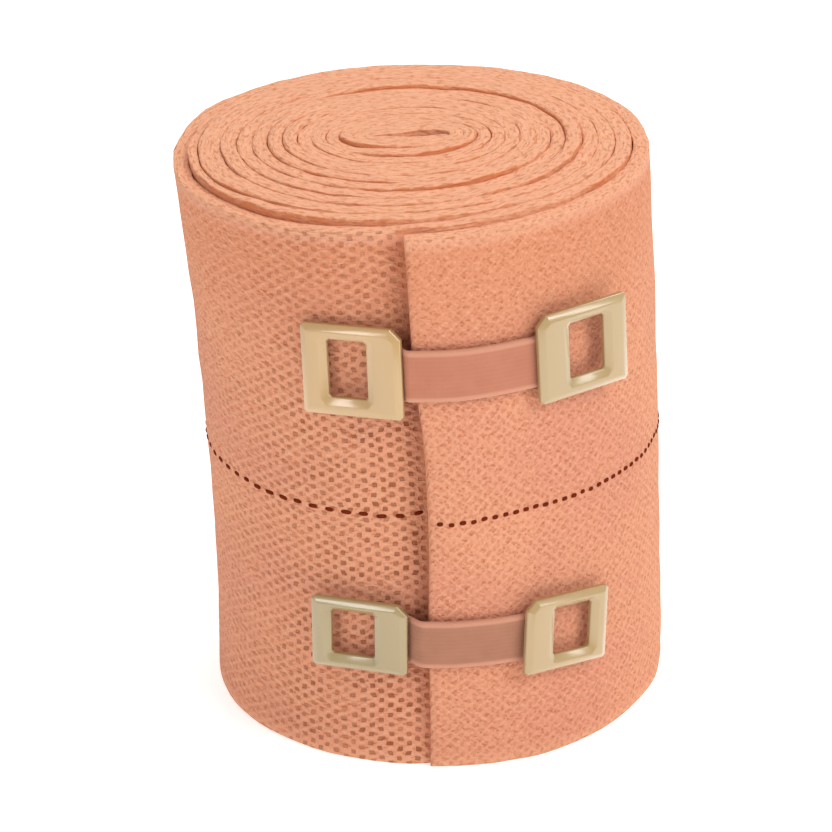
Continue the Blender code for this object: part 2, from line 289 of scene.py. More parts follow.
class NodeGraph:
    """One material's node tree, with short calls that add a node and join it up."""

    def __init__(self, name: str) -> None:
        """Start a material with a shader and nothing else.

        Args:
            name: The material's name.
        """
        self.material = bpy.data.materials.new(name)
        self.material.use_nodes = True
        self.tree = self.material.node_tree
        self.shader = self.tree.nodes["Principled BSDF"]

    def add(self, kind: str, inputs: dict[str | int, object], **settings: object) -> bpy.types.Node:
        """Add a node.

        Args:
            kind: The node's type.
            inputs: What goes into each named or numbered socket, as a value or another socket.
            **settings: The node's own properties.

        Returns:
            The new node.
        """
        node = self.tree.nodes.new(kind)
        for key, value in settings.items():
            setattr(node, key, value)
        for key, value in inputs.items():
            self.join(node.inputs[key], value)
        return node

    def join(self, socket: Socket, value: object) -> None:
        """Set a socket to a value, or link another socket to it.

        Args:
            socket: The socket to fill.
            value: A number, a colour or vector, or the socket that feeds it.
        """
        if isinstance(value, bpy.types.NodeSocket):
            self.tree.links.new(value, socket)
        elif isinstance(value, tuple) and len(value) == 3 and socket.type == "RGBA":
            socket.default_value = (*value, 1.0)
        else:
            socket.default_value = value

    def math(self, operation: str, *values: object) -> Socket:
        """One step of arithmetic."""
        return self.add("ShaderNodeMath", dict(enumerate(values)), operation=operation).outputs[0]

    def times(self, value: object, factor: object) -> Socket:
        """A value times a factor."""
        return self.math("MULTIPLY", value, factor)

    def onto(self, value: object, factor: object, base: object) -> Socket:
        """A value times a factor, added onto a base."""
        return self.math("MULTIPLY_ADD", value, factor, base)

    def vector(self, operation: str, *values: object) -> Socket:
        """One step of vector arithmetic."""
        return self.add("ShaderNodeVectorMath", dict(enumerate(values)), operation=operation).outputs[0]

    def wave(self, place: object, length: float) -> Socket:
        """A wave of the given length along one coordinate, between -1 and 1."""
        return self.math("COSINE", self.times(place, 2.0 * math.pi / length))

    def noise(self, place: object, size: float, detail: float = 2.0) -> Socket:
        """A cloudy value from 0 to 1 whose lumps are about one size across, in metres."""
        inputs = {"Vector": place, "Scale": 1.0 / size, "Detail": detail, "Roughness": 0.55}
        return self.add("ShaderNodeTexNoise", inputs).outputs[0]

    def drift(self, place: object, scale: float, detail: float) -> Socket:
        """Three cloudy values at once, which make coordinates unsteady."""
        inputs = {"Vector": place, "Scale": scale, "Detail": detail}
        return self.add("ShaderNodeTexNoise", inputs).outputs[1]

    def rise(self, value: object, start: float, end: float) -> Socket:
        """A smooth rise from 0 to 1 while the value goes from start to end."""
        inputs = {"Value": value, "From Min": start, "From Max": end}
        return self.add("ShaderNodeMapRange", inputs, interpolation_type="SMOOTHSTEP").outputs[0]

    def blend(self, share: object, first: object, second: object) -> Socket:
        """Blend two colours.

        Args:
            share: How much of the second shows, from 0 to 1.
            first: The first colour.
            second: The second colour.

        Returns:
            The blended colour.
        """
        node = self.add("ShaderNodeMix", {}, data_type="RGBA")
        for socket, value in zip(MIX_INPUTS, (share, first, second)):
            self.join(node.inputs[socket], value)
        return node.outputs[MIX_OUTPUT]

    def flow(self, place: object, along: float, across: float, turn: float = 0.0) -> Socket:
        """Coordinates in which lumps lie along the cloth: scaled along it and across it, and turned."""
        inputs = {"Vector": place, "Scale": (along, across, 1.0), "Rotation": (0.0, 0.0, turn)}
        return self.add("ShaderNodeMapping", inputs).outputs[0]

    def object_place(self) -> Socket:
        """The place in the object's own coordinates."""
        return self.add("ShaderNodeTexCoord", {}).outputs["Object"]

    def value_of(self, name: str) -> Socket:
        """A piece's own named value."""
        return self.add("ShaderNodeAttribute", {}, attribute_name=name).outputs["Fac"]

    def bump(self, height: object, depth: float, beneath: object | None = None) -> Socket:
        """Raise a relief.

        Args:
            height: Its height, as a share of its depth.
            depth: Its depth in metres.
            beneath: Another relief that it lies on, if there is one.

        Returns:
            The normal of the relief.
        """
        inputs: dict[str | int, object] = {"Height": height, "Distance": depth, "Strength": 1.0}
        if beneath is not None:
            inputs["Normal"] = beneath
        return self.add("ShaderNodeBump", inputs).outputs[0]

    def finish(self, **sockets: object) -> bpy.types.Material:
        """Fill the shader's sockets.

        Args:
            **sockets: What goes into each, with underscores for the spaces in its name.

        Returns:
            The finished material.
        """
        for key, value in sockets.items():
            self.join(self.shader.inputs[key.replace("_", " ")], value)
        return self.material


@dataclass(frozen=True)
class CrepeFinish:
    """The crepe's woven finish, on the cloth's own coordinates.

    The weave repeats along the cloth and across it, and every second row is shifted by half a repeat.
    Where the cloth is stretched the weave opens into small holes.
    """

    repeat_along: float = 1.55 * MM
    repeat_across: float = 1.5 * MM
    thread: Colour = (0.69, 0.305, 0.180)
    rosy: Colour = (0.65, 0.275, 0.175)
    # Painted highlight, laid on the grain's ridges and knots, and on the rims and selvedge borders
    painted_highlight: Colour = (0.785, 0.395, 0.243)
    # Painted shade in the grain's troughs
    trough_shade: Colour = (0.50, 0.165, 0.075)
    # Painted shade, seen through the weave's openings
    hole_shade: Colour = (0.25, 0.062, 0.020)
    # Painted shade in the seams between turns
    crease_shade: Colour = (0.66, 0.205, 0.080)
    fleck: Colour = (0.51, 0.185, 0.075)
    # A darker, redder tone towards the top of the wall
    upper_tone: Colour = (0.63, 0.250, 0.132)
    # How strongly each colour shows
    painted_highlight_share: float = 0.55
    hole_shade_share: float = 0.74
    fleck_share: float = 0.66
    upper_tone_share: float = 0.7
    # How strongly the painted highlight shows on the rims and on the selvedge borders
    rim_highlight: float = 0.45
    selvedge_highlight: float = 0.30
    # The painted seam shade's least strength, and how much more it gets where its breaks rise
    unbroken_crease_shade: float = 0.3
    broken_crease_shade: float = 0.6
    # The threads wander this far, at this scale
    wander: tuple[float, float] = (0.9 * MM, 0.6 * MM)
    wander_scale: float = 420.0
    # The size of each kind of lump, and the cloudy values between which it comes up
    open_patch: float = 3.5 * MM
    open_rise: Ramp = (0.25, 0.75)
    tone_patch: float = 22.0 * MM
    tone_rise: Ramp = (0.35, 0.65)
    ridge: float = 0.75 * MM
    ridge_rise: Ramp = (0.30, 0.70)
    pebble: float = 0.42 * MM
    pebble_rise: Ramp = (0.30, 0.72)
    dash: float = 0.55 * MM
    dash_rise: Ramp = (0.52, 0.64)
    crease_shade_break: float = 1.3 * MM
    break_rise: Ramp = (0.35, 0.60)
    rim_threads: float = 0.75 * MM
    thread_rise: Ramp = (0.34, 0.68)
    # Lumps that lie along the cloth are scaled by these along it and across it, and the ridges also lean
    ridge_flow: tuple[float, float] = (0.70, 1.25)
    ridge_lean: float = 0.35
    thread_flow: tuple[float, float] = (0.45, 1.3)
    dash_flow: tuple[float, float] = (0.6, 1.25)
    # How open the least open patches are, how much more the others are, and how far the brown dashes gather
    # beside the seams as painted seam shade
    least_open: float = 0.5
    patch_openness: float = 0.7
    dash_gathering: float = 0.18
    # The grain's heights at which it leaves the painted shade of its troughs, and at which it takes the
    # painted highlight of its ridges
    trough_shade_rise: Ramp = (0.05, 0.50)
    lit_rise: Ramp = (0.55, 0.95)
    # An opening's edges, on the weave's waves along the cloth and across it, and a knot's
    hole_along: Ramp = (0.52, 0.82)
    hole_across: Ramp = (0.12, 0.60)
    knot: Ramp = (-0.15, -0.80)
    knot_height: float = 0.30
    # The grain is made up of these shares
    ridge_share: float = 0.42
    pebble_share: float = 0.34
    loop_share: float = 0.24
    rim_thread_share: float = 0.7
    # How far from the selvedge its rim and its border reach, both given a painted highlight, and where the
    # upper wall starts to turn darker and redder
    rim_reach: Ramp = (1.3 * MM, 0.2 * MM)
    border_reach: Ramp = (2.4 * MM, 1.0 * MM)
    upper_wall: Ramp = (56.0 * MM, 76.0 * MM)
    relief: float = 0.17 * MM
    pucker: float = 5.0 * MM
    pucker_depth: float = 0.5 * MM
    roughness: float = 0.92

    def make(self) -> bpy.types.Material:
        """Build the material.

        Returns:
            The crepe material.
        """
        graph = NodeGraph("crepe")
        chart = graph.add("ShaderNodeUVMap", {}, uv_map="cloth").outputs[0]
        far, high = self.wander
        drift = graph.drift(chart, self.wander_scale, 2.0)
        drift = graph.vector("MULTIPLY_ADD", drift, (far, high, 0.0), (-far / 2.0, -high / 2.0, 0.0))
        split = graph.add("ShaderNodeSeparateXYZ", {0: graph.vector("ADD", chart, drift)})
        along = graph.wave(split.outputs[0], self.repeat_along)
        across = graph.wave(split.outputs[1], self.repeat_across)
        uneven = graph.rise(graph.noise(chart, self.open_patch), *self.open_rise)
        uneven = graph.onto(uneven, self.patch_openness, self.least_open)
        opened = graph.times(graph.value_of("openness"), uneven)
        holes = graph.times(self.squares(graph, along, across), opened)
        knots = graph.times(graph.rise(graph.times(along, across), *self.knot), opened)
        grain = graph.onto(knots, self.knot_height, self.grain(graph, chart, split))
        fine = graph.bump(graph.math("SUBTRACT", grain, holes), self.relief)
        puckers = graph.noise(chart, self.pucker, 1.0)
        return graph.finish(
            Base_Color=self.colour(graph, chart, grain, holes),
            Roughness=self.roughness,
            Normal=graph.bump(puckers, self.pucker_depth, fine),
            Specular_IOR_Level=0.06,
            Sheen_Weight=0.12,
            Sheen_Roughness=0.5,
            Sheen_Tint=(1.0, 0.72, 0.52),
        )

    def squares(self, graph: NodeGraph, along: Socket, across: Socket) -> Socket:
        """Where the weave parts: small squares, staggered from row to row.

        Args:
            graph: The material's graph.
            along: The weave's wave along the cloth.
            across: The weave's wave across it.

        Returns:
            A share from 0 on the threads to 1 in the squares.
        """
        pair = []
        for sign in (1.0, -1.0):
            wide = graph.rise(along, *(sign * edge for edge in self.hole_along))
            high = graph.rise(across, *(sign * edge for edge in self.hole_across))
            pair.append(graph.times(wide, high))
        return graph.math("ADD", *pair)

    def grain(self, graph: NodeGraph, chart: Socket, split: bpy.types.Node) -> Socket:
        """The crepe's pebbled grain, of short ridges that lean along the cloth, and threads along its rims.

        Args:
            graph: The material's graph.
            chart: The cloth's own coordinates.
            split: The same, a little unsteady, as separate numbers.

        Returns:
            A height from 0 to 1.
        """
        leaning = graph.flow(chart, *self.ridge_flow, turn=self.ridge_lean)
        ridges = graph.rise(graph.noise(leaning, self.ridge, 1.5), *self.ridge_rise)
        pebbles = graph.rise(graph.noise(chart, self.pebble, 2.0), *self.pebble_rise)
        loop_along = graph.wave(split.outputs[0], self.repeat_along / 2.0)
        loop_across = graph.wave(split.outputs[1], self.repeat_across / 2.0)
        loops = graph.onto(graph.times(loop_along, loop_across), 0.5, 0.5)
        pebbled = graph.times(pebbles, self.pebble_share)
        pebbled = graph.onto(ridges, self.ridge_share, pebbled)
        pebbled = graph.onto(loops, self.loop_share, pebbled)
        threads = graph.noise(graph.flow(chart, *self.thread_flow), self.rim_threads, 2.0)
        threads = graph.rise(threads, *self.thread_rise)
        share = graph.times(self.rim(graph), self.rim_thread_share)
        kept = graph.times(pebbled, graph.math("SUBTRACT", 1.0, share))
        return graph.onto(threads, share, kept)

    def rim(self, graph: NodeGraph) -> Socket:
        """How far each place belongs to a selvedge's rim."""
        return graph.rise(graph.value_of("from_selvedge"), *self.rim_reach)

    def colour(self, graph: NodeGraph, chart: Socket, grain: Socket, holes: Socket) -> Socket:
        """The crepe's colour, with a painted highlight on the ridges and painted shade between them and in
        the holes.

        It turns darker and redder towards the top of the wall, its rims and selvedge borders get a painted
        highlight and short brown dashes, and painted shade darkens the seams between turns, where the dashes
        also gather.

        Args:
            graph: The material's graph.
            chart: The cloth's own coordinates.
            grain: The grain's height.
            holes: How far each place lies in one of the weave's openings.

        Returns:
            The colour.
        """
        patches = graph.rise(graph.noise(chart, self.tone_patch, 2.0), *self.tone_rise)
        thread = graph.blend(patches, self.thread, self.rosy)
        border = graph.rise(graph.value_of("from_selvedge"), *self.border_reach)
        height = graph.add("ShaderNodeSeparateXYZ", {0: graph.object_place()}).outputs[2]
        high = graph.times(graph.rise(height, *self.upper_wall), self.upper_tone_share)
        high = graph.times(high, graph.math("SUBTRACT", 1.0, border))
        thread = graph.blend(high, thread, self.upper_tone)
        trough_shade = graph.blend(graph.rise(grain, *self.trough_shade_rise), self.trough_shade, thread)
        lit = graph.times(graph.rise(grain, *self.lit_rise), self.painted_highlight_share)
        painted_highlight = graph.blend(lit, trough_shade, self.painted_highlight)
        share = graph.times(border, self.selvedge_highlight)
        share = graph.onto(self.rim(graph), self.rim_highlight, share)
        rims_highlighted = graph.blend(share, painted_highlight, self.painted_highlight)
        lying = graph.flow(chart, *self.dash_flow)
        crease_shade = graph.value_of("crease_shade")
        dashes = graph.onto(crease_shade, self.dash_gathering, graph.noise(lying, self.dash, 1.5))
        flecks = graph.times(graph.rise(dashes, *self.dash_rise), self.rim(graph))
        flecked = graph.blend(graph.times(flecks, self.fleck_share), rims_highlighted, self.fleck)
        breaks = graph.rise(graph.noise(lying, self.crease_shade_break), *self.break_rise)
        broken = graph.onto(breaks, self.broken_crease_shade, self.unbroken_crease_shade)
        crease_shaded = graph.blend(graph.times(crease_shade, broken), flecked, self.crease_shade)
        return graph.blend(graph.times(holes, self.hole_shade_share), crease_shaded, self.hole_shade)


@dataclass(frozen=True)
class MarkerFinish:
    """Dark red cotton, for the marker thread."""

    colour: Colour = (0.095, 0.012, 0.003)
    paler: float = 2.2
    fluff: float = 0.25 * MM
    relief: float = 0.08 * MM
    roughness: float = 1.0

    def make(self) -> bpy.types.Material:
        """Build the material, with the thread's own fluff.

        Returns:
            The marker thread's material.
        """
        graph = NodeGraph("marker_cotton")
        fluff = graph.noise(graph.object_place(), self.fluff)
        return graph.finish(
            Base_Color=graph.blend(fluff, self.colour, tuple(self.paler * part for part in self.colour)),
            Roughness=self.roughness,
            Normal=graph.bump(fluff, self.relief),
            Specular_IOR_Level=0.05,
        )


@dataclass(frozen=True)
class EnamelFinish:
    """Cream enamel on pressed steel, blended towards a darker, greener cream by each plate's tone and by soft
    clouds, with painted contact shade at the foot of its edges.
    """

    cream: Colour = (0.53, 0.320, 0.120)
    green_cream: Colour = (0.34, 0.262, 0.115)
    foot_shade: Colour = (0.27, 0.17, 0.07)
    cloud: float = 9.0 * MM
    cloudiness: float = 0.20
    # The heights above the plate's back at which the painted contact shade starts and is full
    foot: Ramp = (0.70 * MM, 0.25 * MM)
    foot_shade_share: float = 0.6
    roughness: float = 0.27

    def make(self) -> bpy.types.Material:
        """Build the material.

        Returns:
            The enamel material.
        """
        graph = NodeGraph("cream_enamel")
        clouds = graph.noise(graph.object_place(), self.cloud, 0.0)
        tone = graph.times(graph.value_of("tone"), 1.0 - self.cloudiness)
        tone = graph.onto(clouds, self.cloudiness, tone)
        enamel = graph.blend(tone, self.cream, self.green_cream)
        foot = graph.rise(graph.value_of("lift"), *self.foot)
        return graph.finish(
            Base_Color=graph.blend(graph.times(foot, self.foot_shade_share), enamel, self.foot_shade),
            Roughness=self.roughness,
            Coat_Weight=1.0,
            Coat_Roughness=0.16,
            Specular_IOR_Level=0.8,
        )


@dataclass(frozen=True)
class ElasticFinish:
    """Woven elastic in dusty pink: lengthwise rubber cords under a fine crosswise weft, and paler edges."""

    body: Colour = (0.43, 0.150, 0.085)
    deep: Colour = (0.33, 0.140, 0.080)
    edge: Colour = (0.60, 0.28, 0.18)
    cord_pitch: float = 0.62 * MM
    weft_pitch: float = 0.30 * MM
    # The threads wander this far, at this scale
    wander: tuple[float, float] = (0.22 * MM, 0.10 * MM)
    wander_scale: float = 700.0
    # How strongly the weft and the cords stand out, and how much that and the patches change the tone
    weft_share: float = 0.25
    cord_share: float = 0.35
    relief_tone: float = 0.07
    patch_tone: float = 0.35
    tone_patch: float = 3.0 * MM
    edge_reach: Ramp = (0.45 * MM, 0.95 * MM)
    edge_share: float = 0.8
    relief: float = 0.025 * MM

    def make(self) -> bpy.types.Material:
        """Build the material.

        Returns:
            The elastic material.
        """
        graph = NodeGraph("pink_elastic")
        chart = graph.add("ShaderNodeUVMap", {}, uv_map="cloth").outputs[0]
        drift = graph.drift(chart, self.wander_scale, 1.0)
        place = graph.vector("MULTIPLY_ADD", drift, (*self.wander, 0.0), chart)
        split = graph.add("ShaderNodeSeparateXYZ", {0: place})
        weft = graph.wave(split.outputs[0], self.weft_pitch)
        cords = graph.wave(split.outputs[1], self.cord_pitch)
        relief = graph.onto(weft, self.weft_share, graph.times(cords, self.cord_share))
        edge = graph.math("SUBTRACT", 1.0, graph.rise(graph.value_of("from_selvedge"), *self.edge_reach))
        patches = graph.times(graph.noise(chart, self.tone_patch), self.patch_tone)
        tone = graph.onto(relief, self.relief_tone, patches)
        body = graph.blend(tone, graph.blend(graph.value_of("tone"), self.body, self.deep), self.edge)
        return graph.finish(
            Base_Color=graph.blend(graph.times(edge, self.edge_share), body, self.edge),
            Roughness=0.72,
            Normal=graph.bump(relief, self.relief),
            Specular_IOR_Level=0.3,
            Sheen_Weight=0.25,
            Sheen_Roughness=0.4,
        )


@dataclass(frozen=True)
class FloorFinish:
    """Plain near-white studio paper."""

    colour: Colour = (0.92, 0.92, 0.92)
    glow: float = 0.44

    def make(self) -> bpy.types.Material:
        """Build the material, with a slight glow that keeps the paper white.

        Returns:
            The paper's material.
        """
        return NodeGraph("studio_paper").finish(
            Base_Color=self.colour,
            Roughness=0.9,
            Specular_IOR_Level=0.1,
            Emission_Color=(1.0, 1.0, 1.0),
            Emission_Strength=self.glow,
        )


# ---------------------------------------------------------------- the wound cloth


class Gap(NamedTuple):
    """A gap between two turns that gapes at the top, by the turns that lie outside it, and its width."""

    first: float
    last: float
    width: float


@dataclass(frozen=True)
class Winding:
    """The spiral that the cloth lies in, leaning and slightly waisted, with the solid's own sizes.

    The dip beneath the free end, the thin second turn, the gaps and the lifted edges are the cloth's own.
    """

    cloth_width: float = 80.0 * MM
    flap_radius: float = 33.8 * MM
    core_half_length: float = 4.4 * MM
    turns: float = 13.25
    steps_per_turn: int = 40
    edge_azimuth: float = -0.9
    centre: tuple[float, float] = (-0.45 * MM, 0.35 * MM)
    lean_x: tuple[float, float, float] = (0.0 * MM, 0.0 * MM, -2.05 * MM)
    lean_y: tuple[float, float, float] = (0.0 * MM, -0.86 * MM, -1.72 * MM)
    girth: tuple[float, float, float] = (1.003, 0.989, 1.0)
    rim_height: float = 80.0 * MM
    crown_rise: float = 1.3 * MM
    sway_spread: float = 14.0
    hair_angle: float = 0.01
    under_flap_spread: float = 11.0
    ripple_height: float = 0.10 * MM
    ripple_wave: float = 17.0 * MM

    # How far the turns are pressed in or stand out, by azimuth, and what share of it by height
    pressed: Table = in_mm(
        (-180.0, 0.5),
        (-130.0, 0.6),
        (-85.0, -0.1),
        (-50.0, -0.3),
        (-12.0, -0.3),
        (2.0, -0.6),
        (28.0, -1.3),
        (45.0, -0.8),
        (85.0, -0.1),
        (130.0, 0.6),
        (180.0, 0.5),
    )
    press_by_height: Table = ((0.0, 0.3), (30.0 * MM, 1.0))
    # How far right of its azimuth the free end lies, by height
    free_edge: Table = all_in_mm(
        (0.0, -0.45), (20.0, -0.50), (38.0, 0.30), (48.0, 0.40), (61.0, -0.55), (80.0, 0.05)
    )
    # How far the outer turn stands out of the even winding: degrees right of the free end, then the
    # distance in millimetres at the five heights that follow
    outer_turn: tuple[tuple[float, ...], ...] = (
        (-180.0, 0.0, 0.0, 0.0, 0.0, 0.0),
        (-120.0, -0.4, -0.3, 0.0, 0.0, 0.0),
        (-90.0, -0.4, -0.3, 0.0, 0.0, 0.0),
        (-45.0, 0.9, 0.3, 0.0, 0.0, 0.0),
        (-14.0, 1.3, 0.3, 0.0, 0.0, 0.1),
        (-6.0, 1.35, 0.2, -0.1, -0.1, 0.05),
        (-0.01, 1.1, -0.9, -1.3, -1.3, -0.8),
        (0.0, -0.3, -0.1, 0.45, 0.0, 0.0),
        (8.0, -0.1, 0.0, 0.65, 0.1, 0.1),
        (16.0, 0.4, 0.1, 0.2, 0.0, 0.0),
        (27.0, 0.9, 0.2, 0.0, 0.0, 0.0),
        (70.0, 0.5, 0.1, 0.0, 0.0, 0.0),
        (120.0, 0.0, 0.0, 0.0, 0.0, 0.0),
    )
    outer_turn_heights: tuple[float, ...] = (0.0 * MM, 20.0 * MM, 40.0 * MM, 60.0 * MM, 80.0 * MM)
    # How much lower than the rest the top of the outer turn is, by azimuth, and over which steps it falls
    outer_turn_drop: Table = in_mm(
        (-180.0, 0.1),
        (-130.0, 0.3),
        (-80.0, 1.3),
        (-40.0, 1.2),
        (-12.0, 0.8),
        (20.0, 0.65),
        (60.0, 0.35),
        (110.0, 0.1),
        (180.0, 0.1),
    )
    drop_lead_steps: float = 3.0
    drop_steps: float = 5.0
    gaps: tuple[Gap, ...] = (
        Gap(0.20, 0.36, 0.15 * MM),
        Gap(0.82, 0.99, 0.12 * MM),
        Gap(1.71, 1.90, 0.14 * MM),
        Gap(3.18, 3.33, 0.15 * MM),
        Gap(3.72, 3.84, 0.10 * MM),
        Gap(4.10, 4.24, 0.25 * MM),
        Gap(4.22, 4.48, 1.10 * MM),
        Gap(4.46, 4.63, 0.65 * MM),
        Gap(4.95, 5.12, 0.45 * MM),
        Gap(5.70, 5.80, 0.12 * MM),
        Gap(5.80, 5.97, 0.40 * MM),
        Gap(6.68, 6.86, 0.50 * MM),
        Gap(9.22, 9.38, 0.32 * MM),
        Gap(9.93, 10.33, 0.45 * MM),
        Gap(10.72, 11.00, 0.50 * MM),
        Gap(13.02, 13.25, 1.40 * MM),
    )
    # Each gap opens and closes over this share of a turn, and is a little uneven
    gap_fade: float = 0.03
    gap_fullness: float = 0.85
    gap_unevenness: float = 0.3
    gap_wave: float = 7.0 * MM
    # Elsewhere the turns part a little here and there
    slack_width: float = 0.16 * MM
    slack_wave: float = 22.0 * MM
    slack_rarity: float = 0.25
    # Where the second turn is squeezed thin at the top: how far its inner seam is pushed out, by the
    # turns that lie outside it
    squeezed: Table = in_mm((1.60, 0.0), (1.70, 0.9), (1.83, 1.1), (1.90, 0.5), (1.98, 0.0))
    squeeze_depth: float = 12.0 * MM
    # How much higher or lower the cloth's edge stands beside the gaps that show most, by the turns
    # that lie outside it, with a row for each such stretch
    lifted: Table = in_mm(
        *((1.55, 0.0), (1.70, -0.25), (1.84, -0.25), (1.95, 0.0)),
        *((4.04, 0.0), (4.16, 0.40), (4.50, 0.40), (4.66, 0.0)),
        *((5.24, 0.0), (5.34, -0.20), (5.55, -0.20), (5.70, 0.0)),
        *((5.85, 0.0), (5.98, 0.28), (6.12, 0.28), (6.25, 0.05)),
        *((6.60, 0.05), (6.72, 0.30), (6.96, 0.30), (7.08, 0.0)),
        *((7.56, 0.0), (7.70, 0.25), (7.86, 0.25), (8.00, 0.0)),
        *((10.85, 0.0), (10.98, 0.28), (11.20, 0.28), (11.30, 0.0)),
        *((11.60, 0.0), (11.75, 0.30), (12.00, 0.30), (12.10, 0.0)),
    )

    @property
    def pitch(self) -> float:
        """The distance from one turn to the next."""
        return self.flap_radius / (self.turns + 1.0)

    @property
    def end_step(self) -> float:
        """The step at which the cloth ends."""
        return round(self.turns * self.steps_per_turn)

    @property
    def outer_start(self) -> float:
        """The step at which the outer turn starts."""
        return self.end_step - self.steps_per_turn

    def turns_outside(self, step: Array | float) -> Array:
        """How many turns lie outside each step."""
        return (self.end_step - step) / self.steps_per_turn

    def from_end(self, step: Array | float) -> Array:
        """How many degrees of winding lie between each step and the free end."""
        return (self.end_step - step) * 360.0 / self.steps_per_turn

    def axis(self, height: Array | float) -> Array:
        """The axis of the leaning column at each height, with x and y last."""
        share = np.asarray(height) / self.cloth_width
        return np.stack([parabola(self.lean_x, share), parabola(self.lean_y, share)], axis=-1)

    def azimuth(self, step: Array | float) -> Array:
        """The winding runs clockwise seen from above, and ends at the free end."""
        return self.edge_azimuth + self.from_end(step)

    def arc(self, step: Array) -> Array:
        """About how much cloth is wound up to each step."""
        return self.pitch * math.pi * step**2 / self.steps_per_turn**2

    def stand_out(self, right_of_end: Array, height: Array) -> Array:
        """How far the outer turn stands out of the even winding.

        Args:
            right_of_end: Degrees right of the free end, negative to its left.
            height: The height of each place.

        Returns:
            The distance at each place.
        """
        right_of_end, height = np.broadcast_arrays(right_of_end, height)
        levels = []
        for column in range(1, len(self.outer_turn_heights) + 1):
            levels.append(ease(right_of_end, [(row[0], row[column] * MM) for row in self.outer_turn]))
        stacked = np.stack(levels, axis=-1)
        high, share = rows_beside(height, self.outer_turn_heights)
        below = np.take_along_axis(stacked, (high - 1)[..., None], -1)[..., 0]
        above = np.take_along_axis(stacked, high[..., None], -1)[..., 0]
        return below + (above - below) * share

    def seam(self, step: Array | float, height: Array | float) -> Array:
        """The level place of the seam between two turns. Past the end step it is the outer wall.

        Args:
            step: Places along the winding.
            height: The height of each place.

        Returns:
            The places, with x and y last.
        """
        step, height = np.broadcast_arrays(np.asarray(step, float), np.asarray(height, float))
        share = step / self.steps_per_turn / (self.turns + 1.0)
        azimuth = self.azimuth(step)
        press = ease(bearing(azimuth), self.pressed) * share**3
        reach = self.pitch * step / self.steps_per_turn + press * ease(height, self.press_by_height)
        left = 360.0 * (step - self.end_step) / self.steps_per_turn
        side = np.where(left < 180.0, np.minimum(-left, -self.hair_angle), 360.0 - left)
        beneath = self.stand_out(np.full(left.shape, -self.hair_angle), height)
        fade = smooth(1.0 + left / self.under_flap_spread)
        reach = reach + np.where(left >= 0.0, self.stand_out(side, height), beneath * fade)
        near_top = smooth(1.0 - (self.rim_height - height) / self.squeeze_depth)
        reach = reach + ease(self.turns_outside(step), self.squeezed) * near_top
        reach = reach + self.ripple_height * share * ripple(3, self.arc(step), self.ripple_wave, height)
        nearness = np.clip(1.0 - (360.0 - left) / self.sway_spread, 0.0, 1.0)
        azimuth = azimuth + np.degrees(ease(height, self.free_edge) / self.flap_radius) * nearness
        way = outward(azimuth)
        stretch = self.core_half_length * (1.0 - share) ** 2
        girth = parabola(self.girth, height / self.cloth_width)
        offset = np.stack([way[..., 0] * (reach + stretch), way[..., 1] * reach], axis=-1) * girth[..., None]
        return self.axis(height) + np.array(self.centre) + offset

    def wall(self, azimuth: Array | float, height: Array | float) -> Array:
        """The level place of the outer wall at an azimuth."""
        left_of_edge = (self.edge_azimuth - np.asarray(azimuth)) % 360.0
        return self.seam(self.end_step + self.steps_per_turn * left_of_edge / 360.0, height)

    def gap(self, step: Array) -> Array:
        """How wide the seam between two turns gapes at the top.

        Args:
            step: The steps of the turn outside the seam.

        Returns:
            The gap's width at each step, which is nothing where the seam is closed.
        """
        outside = self.turns_outside(step)
        width = self.slack_width * smooth(ripple(31, self.arc(step), self.slack_wave) - self.slack_rarity)
        uneven = self.gap_fullness + self.gap_unevenness * ripple(32, self.arc(step), self.gap_wave)
        for gap in self.gaps:
            inside = np.minimum(outside - gap.first, gap.last - outside)
            fade = smooth((inside + self.gap_fade) / (2.0 * self.gap_fade))
            width = np.maximum(width, gap.width * uneven * fade)
        return width

    def top_edge(self, step: Array) -> Array:
        """The height of the cloth's upper selvedge, crowned, and lower on the outer turn.

        Args:
            step: Places along the winding.

        Returns:
            The height at each step.
        """
        share = (step / self.steps_per_turn + 0.5) / (self.turns + 1.0)
        steps_in = step - self.outer_start + self.drop_lead_steps
        lowered = np.clip(steps_in / self.drop_steps, 0.0, 1.0)
        drop = ease(bearing(self.azimuth(step)), self.outer_turn_drop) * lowered
        lift = ease(self.turns_outside(step), self.lifted)
        return self.rim_height + self.crown_rise * (1.0 - share**2) + lift - drop


